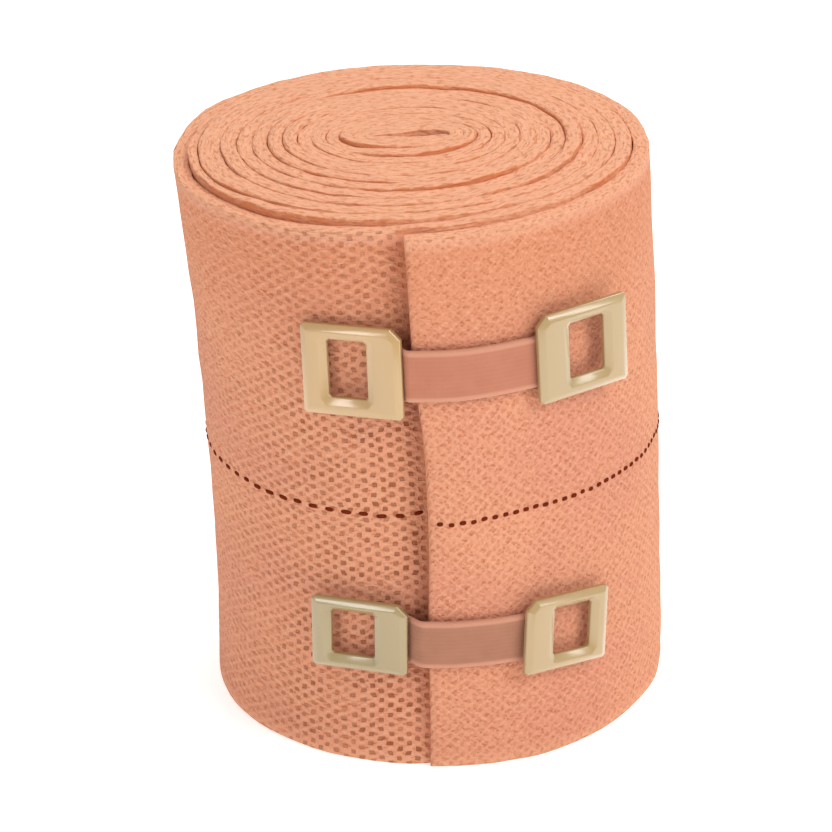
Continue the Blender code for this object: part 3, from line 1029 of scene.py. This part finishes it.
@dataclass(frozen=True)
class CrepeRoll:
    """The wound cloth and the marker thread that is woven in along its middle."""

    winding: Winding
    # The mesh: stations a turn at the core and outside, rows up each face and round each selvedge
    core_stations: float = 44.0
    outer_stations: float = 156.0
    station_growth: float = 1.2
    nose_stations: tuple[float, ...] = (0.0, 0.06, 0.25, 0.55, 1.0)
    nose_margin: float = 1.3
    face_rows: int = 24
    rim_rows: int = 6
    # The rows up a face are this far even, and for the rest closer together towards the selvedges
    even_rows: float = 0.45
    # The fine steps in which the cloth's length is added up, and the dashes are counted
    walk_steps: int = 6000
    marker_steps: int = 4000
    # The cloth
    thickness: float = 2.28 * MM
    seam_clearance: float = 0.02 * MM
    selvedge_round: float = 0.09 * MM
    round_unevenness: float = 0.6
    round_wave: float = 12.0 * MM
    # Beside a gap the selvedge is rounder, by this share of the gap, up to a gap of this width
    gaping_round: float = 0.6
    widest_rounded: float = 0.6 * MM
    rim_squareness: float = 0.5
    end_round: tuple[float, float] = (0.9 * MM, 0.4 * MM)
    # This many steps before and after its start, the cloth begins to look like the outer turn
    outer_blend: float = 2.0
    # The upper selvedge rises and falls, less on the outer turn, and sways in and out
    rim_unevenness: float = 0.13 * MM
    rim_wave: float = 46.0 * MM
    short_rim_wave: float = 9.0 * MM
    short_rim_share: float = 0.6
    calm_outer_turn: float = 0.5
    rim_wander: float = 0.13 * MM
    wander_wave: float = 6.0 * MM
    full_wander_step: float = 60.0
    foot_unevenness: float = 0.06 * MM
    foot_wave: float = 20.0 * MM
    gap_depth: float = 0.4 * MM
    # How dark the painted seam shade is on a closed seam beside a gaping one, and the width of gap at which
    # it is as dark as any
    closed_crease_shade: float = 0.25
    full_shade_gap: float = 0.2 * MM
    # How wide the core's slit is, by step
    slit: Table = in_mm((0.0, 0.45), (16.0, 0.28), (29.0, 0.35), (33.0, 1.6), (36.0, 2.2), (40.0, 2.3))
    # The marker thread
    marker_height: float = 38.2 * MM
    marker_lead: float = 0.6
    dash_share: float = 0.57
    dash_height: float = 0.62 * MM
    dash_depth: float = 0.34 * MM
    dash_offset: float = 0.3
    dash_sway: float = 0.10 * MM
    dash_unevenness: float = 0.12
    dash_turn: float = 5.0
    dash_squareness: float = 0.6
    # One repeat of the weave along the cloth, by degrees from the free end: relaxed there, stretched beyond
    repeat: Table = in_mm((0.0, 1.55), (70.0, 1.55), (300.0, 2.45), (360.0, 2.45))
    # How far the weave is opened, by azimuth on the outer wall, and by height
    open_by_azimuth: Table = (
        (-180.0, 0.40),
        (-110.0, 0.26),
        (-75.0, 0.22),
        (-52.0, 0.42),
        (-30.0, 0.84),
        (-0.95, 1.00),
        (-0.85, 0.34),
        (40.0, 0.30),
        (110.0, 0.32),
        (180.0, 0.40),
    )
    open_by_height: Table = ((3.0 * MM, 1.0), (52.0 * MM, 1.0), (62.0 * MM, 0.75), (78.0 * MM, 0.6))
    hidden_openness: float = 0.12

    def stations(self) -> Array:
        """The steps at which the strip has a section, closer together in the tight turns of the core.

        Returns:
            The steps, with a few extra ones at each end, where the end is rounded.
        """
        per_turn = self.winding.steps_per_turn
        end = self.winding.end_step
        steps = [0.0]
        while steps[-1] < end:
            share = steps[-1] / end
            more = (self.outer_stations - self.core_stations) * share**self.station_growth
            steps.append(steps[-1] + per_turn / (self.core_stations + more))
        steps = np.array(steps) * end / steps[-1]
        inner, outer = self.nose_steps()
        rounded = np.array(self.nose_stations)
        middle = steps[(steps > self.nose_margin * inner) & (steps < end - self.nose_margin * outer)]
        return np.concatenate([rounded * inner, middle, end - rounded[::-1] * outer])

    def nose_steps(self) -> tuple[float, float]:
        """Work out how far the cloth's rounded ends reach along it.

        Returns:
            The steps that the inner end's rounding takes, and the outer end's.
        """
        per_turn = self.winding.steps_per_turn
        inner = self.end_round[0] * per_turn / (2.0 * math.pi * self.winding.core_half_length)
        outer = self.end_round[1] * per_turn / (2.0 * math.pi * self.winding.flap_radius)
        return inner, outer

    def fullness(self, steps: Array) -> Array:
        """The share of its thickness that the cloth has: all of it but at its rounded ends.

        Args:
            steps: Places along the winding.

        Returns:
            The share at each step.
        """
        inner, outer = self.nose_steps()
        from_end = np.minimum(steps / inner, (self.winding.end_step - steps) / outer)
        return np.sqrt(1.0 - (1.0 - np.clip(from_end, 0.0, 1.0)) ** 2)

    def faces(self, steps: Array, heights: Array, top: Array) -> tuple[Array, Array]:
        """The cloth's inner and outer faces.

        Args:
            steps: The steps, by station and row.
            heights: The heights, by station and row.
            top: The upper selvedge's height at each station and row.

        Returns:
            The inner and the outer places, with x and y last.
        """
        winding = self.winding
        beneath = winding.seam(steps, heights)
        outer = winding.seam(steps + winding.steps_per_turn, heights)
        room = np.linalg.norm(outer - beneath, axis=-1)
        slit = ease(steps, self.slit)
        tight = winding.pitch * steps / winding.steps_per_turn
        core = np.where(steps < winding.steps_per_turn, np.minimum(slit - tight, 0.0), 0.0)
        near_top = smooth((heights - top + self.gap_depth) / self.gap_depth)
        widen = near_top / 2.0
        arc = winding.arc(steps + winding.steps_per_turn / 2.0)
        wander = self.rim_wander * np.clip(steps / self.full_wander_step, 0.0, 1.0)
        shift = wander * near_top * ripple(21, arc, self.wander_wave, heights)
        most = np.where(steps > winding.outer_start, self.thickness, room - core)
        outer_in = widen * winding.gap(steps + winding.steps_per_turn) + self.seam_clearance / 2.0
        inner_in = np.maximum(room - most, self.seam_clearance / 2.0) + widen * winding.gap(steps)
        inner_in = inner_in + core
        full = self.fullness(steps)
        middle = (inner_in + room - outer_in) / 2.0 + shift
        half = (room - outer_in - inner_in) / 2.0 * full
        across = (outer - beneath) / room[..., None]
        return beneath + across * (middle - half)[..., None], beneath + across * (middle + half)[..., None]

    def sections(self) -> tuple[Array, Array, Array]:
        """Work out the strip's section loops.

        Returns:
            The points by station and place round the section, each station's step, and the upper
            selvedge's height there.
        """
        winding = self.winding
        steps = self.stations()
        arc = winding.arc(steps)
        uneven = ripple(11, arc, self.rim_wave) + self.short_rim_share * ripple(12, arc, self.short_rim_wave)
        outermost = smooth((steps - winding.outer_start + self.outer_blend) / (2.0 * self.outer_blend))
        uneven = self.rim_unevenness * uneven * (1.0 - self.calm_outer_turn * outermost)
        top = winding.top_edge(steps) + uneven
        bottom = self.foot_unevenness * np.clip(1.0 + ripple(13, arc, self.foot_wave), 0.0, 2.0)
        gaping = winding.gap(steps) + winding.gap(steps + winding.steps_per_turn)
        slack = self.round_unevenness * self.selvedge_round * ripple(14, arc, self.round_wave)
        rounding = self.selvedge_round + slack + self.gaping_round * np.minimum(gaping, self.widest_rounded)
        even = np.linspace(0.0, 1.0, self.face_rows)
        shares = self.even_rows * even + (1.0 - self.even_rows) * (0.5 - 0.5 * np.cos(math.pi * even))
        low, high = bottom + rounding, top - rounding
        heights = low[:, None] + shares[None, :] * (high - low)[:, None]
        inner, outer = self.faces(steps[:, None] + 0.0 * heights, heights, top[:, None])
        up = np.concatenate([inner, heights[..., None]], axis=-1)
        down = np.concatenate([outer, heights[..., None]], axis=-1)[:, ::-1]
        over = self.selvedge(up[:, -1], down[:, 0], rounding)
        under = self.selvedge(down[:, -1], up[:, 0], -rounding)
        loops = np.concatenate([up, over, down, under, up[:, :1]], axis=1)
        return loops, steps, top

    def selvedge(self, start: Array, end: Array, rise: Array) -> Array:
        """The rounded selvedge from one face over to the other.

        Args:
            start: Where it leaves the first face, by station.
            end: Where it meets the second face.
            rise: How high it stands, negative for the lower selvedge.

        Returns:
            The points between the two, by station and place.
        """
        angle = np.linspace(0.0, math.pi, self.rim_rows + 2)[1:-1]
        across = 0.5 - 0.5 * np.sign(np.cos(angle)) * np.abs(np.cos(angle)) ** self.rim_squareness
        lift = np.sin(angle) ** self.rim_squareness
        points = start[:, None] + (end - start)[:, None] * across[None, :, None]
        points[..., 2] += rise[:, None] * lift[None, :]
        return points

    def build(self) -> bpy.types.Object:
        """Wind the cloth.

        Returns:
            The cloth.
        """
        loops, steps, top = self.sections()
        walks = np.linalg.norm(np.diff(loops, axis=1), axis=-1)
        across = np.concatenate([np.zeros((len(steps), 1)), np.cumsum(walks, axis=1)], axis=1)
        chart = np.stack([np.broadcast_to(self.along(steps)[:, None], across.shape), across], axis=-1)
        return wrap_strip("wound_crepe", loops, chart, self.values(loops[..., 2], steps, top))

    def values(self, height: Array, steps: Array, top: Array) -> dict[str, Array]:
        """What the finish is told about each place on the cloth.

        Args:
            height: Each place's height, by station and place round the section.
            steps: Each station's step.
            top: The upper selvedge's height at each station.

        Returns:
            How strongly painted seam shade darkens each place, how open its weave is, and how far it is from
            a selvedge.
        """
        winding = self.winding
        # Painted seam shade: full on the faces, fading out over each selvedge, and none on the exposed outer
        # wall
        across_rim = np.abs(np.linspace(-1.0, 1.0, self.rim_rows + 2))[1:-1] ** 3
        deep = np.ones(self.face_rows)
        ring = np.concatenate([deep, across_rim, deep, across_rim, deep[:1]])
        outer_side = np.arange(ring.size) >= self.face_rows + self.rim_rows // 2
        wall = np.arange(ring.size) > self.face_rows + self.rim_rows // 2
        exposed = (steps > winding.outer_start)[:, None] & outer_side
        on_wall = (steps > winding.outer_start - self.outer_blend)[:, None] & wall
        by_azimuth = ease(bearing(winding.azimuth(steps)), self.open_by_azimuth)[:, None]
        opened = by_azimuth * ease(height, self.open_by_height)
        inner_gap, outer_gap = winding.gap(steps), winding.gap(steps + winding.steps_per_turn)
        width = np.where(outer_side, outer_gap[:, None], inner_gap[:, None])
        gaping = self.closed_crease_shade + (1.0 - self.closed_crease_shade) * np.clip(width / self.full_shade_gap, 0.0, 1.0)
        return {
            "crease_shade": np.where(exposed, 0.0, ring * gaping),
            "openness": np.where(on_wall, opened, self.hidden_openness),
            "from_selvedge": np.minimum(height, top[:, None] - height),
        }

    def along(self, steps: Array) -> Array:
        """The relaxed length of cloth, counted from the core.

        Args:
            steps: Places along the winding.

        Returns:
            The length up to each step.
        """
        fine, walk = self.walk()
        relaxed = walk * self.repeat[0][1] / ease(self.winding.from_end(fine[1:]), self.repeat)
        total = np.concatenate([[0.0], np.cumsum(relaxed)])
        return np.interp(steps, fine, total)

    def walk(self) -> tuple[Array, Array]:
        """Walk along the middle of the cloth.

        Returns:
            Closely spaced steps, and how far it runs from each to the next.
        """
        fine = np.linspace(0.0, self.winding.end_step, self.walk_steps)
        half_way_up = self.winding.cloth_width / 2.0
        middle = self.winding.seam(fine + self.winding.steps_per_turn / 2.0, half_way_up)
        return fine, np.linalg.norm(np.diff(middle, axis=0), axis=-1)

    def build_marker(self) -> bpy.types.Object:
        """Lay the marker thread's dashes on the outer turn, one for each repeat of the weave.

        Returns:
            The marker thread, as one mesh.
        """
        winding = self.winding
        fine = np.linspace(winding.outer_start - self.marker_lead, winding.end_step, self.marker_steps)
        repeats = self.along(fine) / self.repeat[0][1]
        shape = bmesh.new()
        for number in range(math.ceil(repeats[0]), math.floor(repeats[-1]) + 1):
            step = float(np.interp(number - self.dash_offset, repeats, fine))
            self.add_dash(shape, step, number)
        return finish_object("marker_thread", shape)

    def add_dash(self, shape: bmesh.types.BMesh, step: float, number: int) -> None:
        """Add one dash of the marker thread.

        Args:
            shape: The shape that it goes into.
            step: Its place along the winding.
            number: Its number, which seeds its unevenness.
        """
        draws = np.random.default_rng(number)
        height = self.marker_height + draws.uniform(-self.dash_sway, self.dash_sway)
        over = step + self.winding.steps_per_turn
        nearby = self.winding.seam(np.array([over - 0.05, over, over + 0.05]), height)
        uneven = draws.uniform(1.0 - self.dash_unevenness, 1.0 + self.dash_unevenness)
        length = self.dash_share * float(ease(self.winding.from_end(step), self.repeat)) * uneven
        run = Vector((*(nearby[2] - nearby[0]), 0.0)).normalized()
        away = Vector((run.y, -run.x, 0.0))
        if away.dot(Vector((*nearby[1], 0.0))) < 0.0:
            away.negate()
        run = Vector((0.0, 0.0, 1.0)).cross(away)
        frame = Matrix((run, away, Vector((0.0, 0.0, 1.0)))).transposed().to_4x4()
        turn = Matrix.Rotation(math.radians(draws.uniform(-self.dash_turn, self.dash_turn)), 4, "Y")
        size = Matrix.Diagonal((length / 2.0, self.dash_depth / 2.0, self.dash_height / 2.0, 1.0))
        made = bmesh.ops.create_uvsphere(shape, u_segments=10, v_segments=8, radius=1.0)
        for vert in made["verts"]:
            vert.co.x = math.copysign(abs(vert.co.x) ** self.dash_squareness, vert.co.x)
        middle = Matrix.Translation((*nearby[1], height))
        bmesh.ops.transform(shape, matrix=middle @ frame @ turn @ size, verts=made["verts"])


# ---------------------------------------------------------------- the clips


@dataclass(frozen=True)
class PlateSize:
    """A windowed clip plate. The wide bar is the one that the band comes out of, and the far bar faces it."""

    width: float
    height: float
    wide_bar: float
    far_bar: float
    top_bar: float
    low_bar: float


@dataclass(frozen=True)
class PlatePlace:
    """Where a plate lies, as in the solid: facing an azimuth, tipped up and turned in its own plane."""

    band_side: BandSide
    azimuth: float
    tip: float
    turn: float
    distance: float
    sideways: float
    height: float

    def matrix(self, winding: Winding) -> Matrix:
        """Work out how the plate stands.

        Args:
            winding: The winding that it lies on.

        Returns:
            The plate's own right, up and outward directions, and its middle.
        """
        away = Vector(outward(self.azimuth))
        tip = math.radians(self.tip)
        facing = Vector((away.x * math.cos(tip), away.y * math.cos(tip), math.sin(tip)))
        across = Vector((-away.y, away.x, 0.0))
        upward = facing.cross(across)
        axis = Vector(winding.axis(self.height))
        middle = axis + away * self.distance + across.xy * self.sideways
        frame = Matrix((across, upward, facing)).transposed()
        turned = frame @ Matrix.Rotation(math.radians(self.turn), 3, "Z")
        return Matrix.Translation((middle.x, middle.y, self.height)) @ turned.to_4x4()


@dataclass(frozen=True)
class ClipPlate:
    """A pressed and enamelled plate: a frame of rounded bars, mitred at its corners, round a window."""

    size: PlateSize
    place: PlatePlace
    tone: float
    band_corner: float = 1.4 * MM
    low_corner: float = 0.5 * MM
    far_corner: float = 0.4 * MM
    window_corner: float = 0.3 * MM
    least_corner: float = 0.08 * MM
    # The two sides of a bar, as distances in from its edge and heights, from the back to the crest
    rim_profile: Table = all_in_mm(
        *((0.0, 0.0), (0.0, 0.48), (0.03, 0.57), (0.08, 0.64), (0.15, 0.70)),
        *((0.76, 1.04), (0.84, 1.08), (0.92, 1.11), (1.00, 1.13)),
    )
    window_profile: Table = all_in_mm(
        *((0.0, 0.0), (0.0, 0.43), (0.03, 0.51), (0.08, 0.58), (0.14, 0.63)),
        *((0.88, 1.04), (0.96, 1.08), (1.03, 1.11), (1.10, 1.13)),
    )
    # A bar this wide has the two sides in full, and a narrower one has them in proportion
    full_bar: float = 2.2 * MM
    sharp_angle: float = 22.0

    def outline(self, sides: Array, cuts: Array, height: float) -> Array:
        """A closed outline with a cut corner at each of its four.

        Args:
            sides: Its far, low, wide and top sides, from the plate's middle.
            cuts: The cuts at the far low, wide low, wide top and far top corners.
            height: Its height above the plate's back.

        Returns:
            Its points, with the first again at the end.
        """
        far, low, wide, top = sides
        far_low, wide_low, wide_top, far_top = cuts
        points = (
            (far + far_low, low),
            (wide - wide_low, low),
            (wide, low + wide_low),
            (wide, top - wide_top),
            (wide - wide_top, top),
            (far + far_top, top),
            (far, top - far_top),
            (far, low + far_low),
            (far + far_low, low),
        )
        side = self.place.band_side.value
        return np.array([(along * side, across, height) for along, across in points])

    def build(self, name: str, winding: Winding) -> bpy.types.Object:
        """Press the plate, as a strip that is wrapped from its rim over the bars to its window.

        Args:
            name: The piece's name.
            winding: The winding that it lies on.

        Returns:
            The plate.
        """
        size = self.size
        half_width, half_height = size.width / 2.0, size.height / 2.0
        rim = np.array((-half_width, -half_height, half_width, half_height))
        bars = np.array((size.far_bar, size.low_bar, -size.wide_bar, -size.top_bar))
        inward = np.sign(bars) * np.minimum(np.abs(bars) / self.full_bar, 1.0)
        corners = np.array((self.far_corner, self.low_corner, self.band_corner, self.far_corner))
        shrink = 2.0 - math.sqrt(2.0)
        rings = []
        for inset, height in self.rim_profile:
            cuts = np.maximum(corners - shrink * inset, self.least_corner)
            rings.append(self.outline(rim + inward * inset, cuts, height))
        for inset, height in reversed(self.window_profile):
            cuts = np.full(4, self.window_corner + shrink * inset)
            rings.append(self.outline(rim + bars - inward * inset, cuts, height))
        loops = np.stack(rings + rings[:1], axis=1)
        matrix = np.array(self.place.matrix(winding))
        placed = loops @ matrix[:3, :3].T + matrix[:3, 3]
        values = {"lift": loops[..., 2], "tone": np.full(loops.shape[:2], self.tone)}
        return wrap_strip(name, placed, loops[..., :2], values, sharp=self.sharp_angle)


@dataclass(frozen=True)
class ElasticBand:
    """A flat elastic band that runs round the roll from one plate to the other, over the free end."""

    width: float
    left_height: float
    right_height: float
    left_azimuth: float
    right_azimuth: float
    tone: float
    thickness: float = 0.7 * MM
    clearance: float = 0.36 * MM
    edge_margin: float = 0.6
    # How far up to the flap it lies, by degrees left of the free edge, where the turn beneath dips
    climb: Table = ((0.0, 1.0), (3.4, 0.0))
    # The dip itself is this many degrees wide, and the band bridges it
    bridged: float = 6.0
    stations: int = 90
    face_rows: int = 14
    rim_rows: int = 5
    selvedge_swell: float = 0.10 * MM
    selvedge_width: float = 0.9 * MM
    end_round: float = 0.3

    def inner_reach(self, winding: Winding, azimuth: Array, heights: Array) -> tuple[Array, Array]:
        """Find how far the band's inner face lies from the axis.

        Args:
            winding: The winding that it lies on.
            azimuth: The azimuth of each station.
            heights: The low, middle and high height of each station.

        Returns:
            The axis and the reach from it, by station.
        """
        axis = winding.axis(heights[:, 1]) + np.array(winding.centre)
        edges = winding.edge_azimuth + np.degrees(ease(heights, winding.free_edge) / winding.flap_radius)
        flap_side = winding.edge_azimuth + winding.hair_angle
        turn_side = winding.edge_azimuth - self.bridged
        spread = azimuth[:, None] + 0.0 * heights
        on_flap = spread > edges - self.edge_margin
        sideways = np.where(on_flap, np.maximum(spread, flap_side), np.minimum(spread, turn_side))
        reach = np.linalg.norm(winding.wall(sideways, heights) - axis[:, None], axis=-1).max(axis=1)
        edge = edges.min(axis=1) - self.edge_margin
        flap = winding.wall(np.maximum(edge[:, None], flap_side), heights)
        over = np.linalg.norm(flap - axis[:, None], axis=-1).max(axis=1)
        climbed = reach + (over - reach) * ease(edge - azimuth, self.climb)
        return axis, np.where(azimuth < edge, climbed, reach) + self.clearance

    def build(self, name: str, winding: Winding) -> bpy.types.Object:
        """Weave the band.

        Args:
            name: The piece's name.
            winding: The winding that it lies on.

        Returns:
            The band.
        """
        share = np.linspace(0.0, 1.0, self.stations)
        azimuth = self.left_azimuth + (self.right_azimuth - self.left_azimuth) * share
        middle = self.left_height + (self.right_height - self.left_height) * share
        half = self.width / 2.0
        axis, reach = self.inner_reach(winding, azimuth, middle[:, None] + np.array([-half, 0.0, half]))
        from_end = np.minimum(share, 1.0 - share) * (self.right_azimuth - self.left_azimuth)
        full = np.sqrt(1.0 - (1.0 - np.clip(from_end / self.end_round, 0.0, 1.0)) ** 2)
        around = self.section()
        out = outward(azimuth)
        depth = (0.5 + around[:, 0][None, :] * full[:, None]) * self.thickness
        level = axis[:, None] + out[:, None] * (reach[:, None] + depth)[..., None]
        height = middle[:, None] + around[:, 1][None, :] * np.ones((len(share), 1))
        loops = np.concatenate([level, height[..., None]], axis=-1)
        walks = np.linalg.norm(np.diff(loops, axis=0), axis=-1)
        along = np.concatenate([np.zeros((1, loops.shape[1])), np.cumsum(walks, axis=0)])
        chart = np.stack([along, np.broadcast_to(around[:, 1], along.shape)], axis=-1)
        from_selvedge = np.broadcast_to(half - np.abs(around[:, 1]), along.shape)
        values = {"from_selvedge": from_selvedge, "tone": np.full(along.shape, self.tone)}
        return wrap_strip(name, loops, chart, values)

    def section(self) -> Array:
        """Work out the band's section, a little thicker along its edges.

        Returns:
            A closed ring of points, as shares of the thickness from its middle, and heights.
        """
        half = self.width / 2.0
        rim = self.thickness / 2.0
        up = np.linspace(-half + rim, half - rim, self.face_rows)
        from_edge = half - np.abs(up)
        swell = 0.5 + self.selvedge_swell / self.thickness * smooth(1.0 - from_edge / self.selvedge_width)
        angle = np.linspace(0.0, math.pi, self.rim_rows + 2)[1:-1]
        over = np.stack([-swell[-1] * np.cos(angle), up[-1] + rim * np.sin(angle)], axis=-1)
        inner = np.stack([-swell, up], axis=-1)
        outer = np.stack([swell, up], axis=-1)[::-1]
        under = -over
        return np.concatenate([inner, over, outer, under, inner[:1]])


@dataclass(frozen=True)
class ElasticClip:
    """One clip: two plates and the band between them."""

    name: str
    plates: tuple[ClipPlate, ClipPlate]
    band: ElasticBand

    def build(self, winding: Winding, enamel: bpy.types.Material, elastic: bpy.types.Material) -> None:
        """Make the clip's pieces and put each in place of its solid.

        Args:
            winding: The winding that it lies on.
            enamel: The plates' material.
            elastic: The band's material.
        """
        for side, plate in zip(("left", "right"), self.plates):
            name = f"{self.name}_{side}"
            place_piece(plate.build(name, winding), enamel, Slot.ENAMEL, f"{self.name}_clip_{side}_plate")
        band = self.band.build(f"{self.name}_band", winding)
        place_piece(band, elastic, Slot.ELASTIC, f"{self.name}_clip_band")


UPPER_PLATE = PlateSize(
    width=13.8 * MM,
    height=12.6 * MM,
    wide_bar=4.8 * MM,
    far_bar=3.6 * MM,
    top_bar=2.1 * MM,
    low_bar=2.5 * MM,
)
LOWER_PLATE = PlateSize(
    width=13.4 * MM,
    height=10.9 * MM,
    wide_bar=4.6 * MM,
    far_bar=2.8 * MM,
    top_bar=1.8 * MM,
    low_bar=2.2 * MM,
)
UPPER_LEFT = PlatePlace(
    band_side=BandSide.RIGHT,
    azimuth=-19.6,
    tip=3.0,
    turn=1.8,
    distance=32.2 * MM,
    sideways=1.75 * MM,
    height=60.4 * MM,
)
UPPER_RIGHT = PlatePlace(
    band_side=BandSide.LEFT,
    azimuth=30.5,
    tip=0.0,
    turn=2.3,
    distance=32.9 * MM,
    sideways=4.7 * MM,
    height=60.6 * MM,
)
LOWER_LEFT = PlatePlace(
    band_side=BandSide.RIGHT,
    azimuth=-14.8,
    tip=-1.5,
    turn=-1.8,
    distance=32.6 * MM,
    sideways=-2.3 * MM,
    height=20.5 * MM,
)
LOWER_RIGHT = PlatePlace(
    band_side=BandSide.LEFT,
    azimuth=32.2,
    tip=3.0,
    turn=-5.4,
    distance=33.45 * MM,
    sideways=-0.6 * MM,
    height=19.2 * MM,
)

CLIPS = (
    ElasticClip(
        name="upper",
        plates=(ClipPlate(UPPER_PLATE, UPPER_LEFT, tone=0.0), ClipPlate(UPPER_PLATE, UPPER_RIGHT, tone=0.6)),
        band=ElasticBand(
            width=7.3 * MM,
            left_height=60.5 * MM,
            right_height=59.9 * MM,
            left_azimuth=-8.6,
            right_azimuth=31.5,
            tone=0.0,
        ),
    ),
    ElasticClip(
        name="lower",
        plates=(ClipPlate(LOWER_PLATE, LOWER_LEFT, tone=1.0), ClipPlate(LOWER_PLATE, LOWER_RIGHT, tone=0.5)),
        band=ElasticBand(
            width=7.1 * MM,
            left_height=20.2 * MM,
            right_height=19.4 * MM,
            left_azimuth=-11.0,
            right_azimuth=24.5,
            tone=1.0,
            climb=((0.0, 1.0), (5.4, 0.0)),
        ),
    ),
)


# ---------------------------------------------------------------- the studio


@dataclass(frozen=True)
class SoftBox:
    """A square soft light that faces the roll."""

    name: str
    azimuth: float
    elevation: float
    distance: float
    side: float
    watts: float
    colour: Colour

    def build(self, target: Vector) -> None:
        """Hang the light.

        Args:
            target: What it faces.
        """
        lamp = bpy.data.lights.new(self.name, "AREA")
        lamp.shape = "SQUARE"
        lamp.size = self.side
        lamp.energy = self.watts
        lamp.color = self.colour
        made = bpy.data.objects.new(self.name, lamp)
        bpy.context.scene.collection.objects.link(made)
        level = outward(self.azimuth) * math.cos(math.radians(self.elevation))
        away = Vector((level[0], level[1], math.sin(math.radians(self.elevation))))
        made.location = target + away * self.distance
        made.rotation_euler = away.to_track_quat("Z", "Y").to_euler()


@dataclass(frozen=True)
class Studio:
    """A pale floor, soft light and a camera at the photograph's viewing angle."""

    target: Vector = Vector((0.0, 0.0, 40.0 * MM))
    camera_distance: float = 424.22 * MM
    camera_elevation: float = 25.49
    camera_roll: float = -1.433
    # The focal length and the shift, as shares of the photograph's width of 832 pixels
    focal_share: float = 2973.9 / 832.0
    shift: tuple[float, float] = (-14.39 / 832.0, -12.62 / 832.0)
    sensor: float = 36.0
    floor_side: float = 12.0
    sky: Colour = (1.0, 1.0, 1.0)
    sky_strength: float = 0.46
    # Each light's name, azimuth, elevation, distance, side, watts and colour
    lights: tuple[SoftBox, ...] = (
        SoftBox("key_right", 50.0, 45.0, 0.75, 0.30, 1.75, (1.0, 0.985, 0.97)),
        SoftBox("glint_right", 65.0, 25.0, 0.75, 0.24, 0.85, (1.0, 0.985, 0.97)),
        SoftBox("glint_left", -37.0, 27.5, 0.75, 0.26, 1.1, (1.0, 0.97, 0.96)),
        SoftBox("top_back", 160.0, 66.0, 0.8, 0.5, 3.5, (1.0, 0.98, 0.96)),
    )

    def build(self) -> None:
        """Set up the floor, lights, sky and camera."""
        shape = bmesh.new()
        bmesh.ops.create_grid(shape, x_segments=1, y_segments=1, size=self.floor_side / 2.0)
        floor = finish_object("floor", shape)
        floor.data.materials.append(FloorFinish().make())
        for light in self.lights:
            light.build(self.target)
        self.build_sky()
        self.build_camera()

    def build_sky(self) -> None:
        """Light everything softly from all round."""
        scene = bpy.context.scene
        scene.world = bpy.data.worlds.new("studio")
        scene.world.use_nodes = True
        background = scene.world.node_tree.nodes["Background"]
        background.inputs[0].default_value = (*self.sky, 1.0)
        background.inputs[1].default_value = self.sky_strength
        scene.view_settings.view_transform = "Standard"
        scene.view_settings.look = "None"

    def build_camera(self) -> None:
        """Put the camera where the photograph was taken from."""
        lens = bpy.data.cameras.new("camera")
        lens.sensor_width = self.sensor
        lens.lens = self.sensor * self.focal_share
        lens.shift_x, lens.shift_y = self.shift
        lens.clip_start = 0.01
        lens.clip_end = 50.0
        camera = bpy.data.objects.new("camera", lens)
        bpy.context.scene.collection.objects.link(camera)
        elevation = math.radians(self.camera_elevation)
        back = Vector((0.0, -math.cos(elevation), math.sin(elevation)))
        level = Vector((1.0, 0.0, 0.0))
        upward = back.cross(level)
        frame = Matrix((level, upward, back)).transposed()
        turned = frame @ Matrix.Rotation(math.radians(self.camera_roll), 3, "Z")
        place = self.target + back * self.camera_distance
        camera.matrix_world = Matrix.Translation(place) @ turned.to_4x4()
        bpy.context.scene.camera = camera


# ---------------------------------------------------------------- putting it together


def main() -> None:
    """Load the frame, build the roll and its clips round it, and set up the studio."""
    logging.basicConfig(level=logging.INFO, format="%(name)s %(message)s")
    for leftover in list(bpy.data.objects):
        bpy.data.objects.remove(leftover, do_unlink=True)
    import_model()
    Studio().build()
    winding = Winding()
    roll = CrepeRoll(winding)
    cloth = roll.build()
    place_piece(cloth, CrepeFinish().make(), Slot.CLOTH, "bandage_roll")
    marker = roll.build_marker()
    place_piece(marker, MarkerFinish().make(), None)
    log.info("cloth lies %.3f m long in the roll", roll.walk()[1].sum())
    enamel = EnamelFinish().make()
    elastic = ElasticFinish().make()
    for clip in CLIPS:
        clip.build(winding, enamel, elastic)


if __name__ == "__main__":
    main()
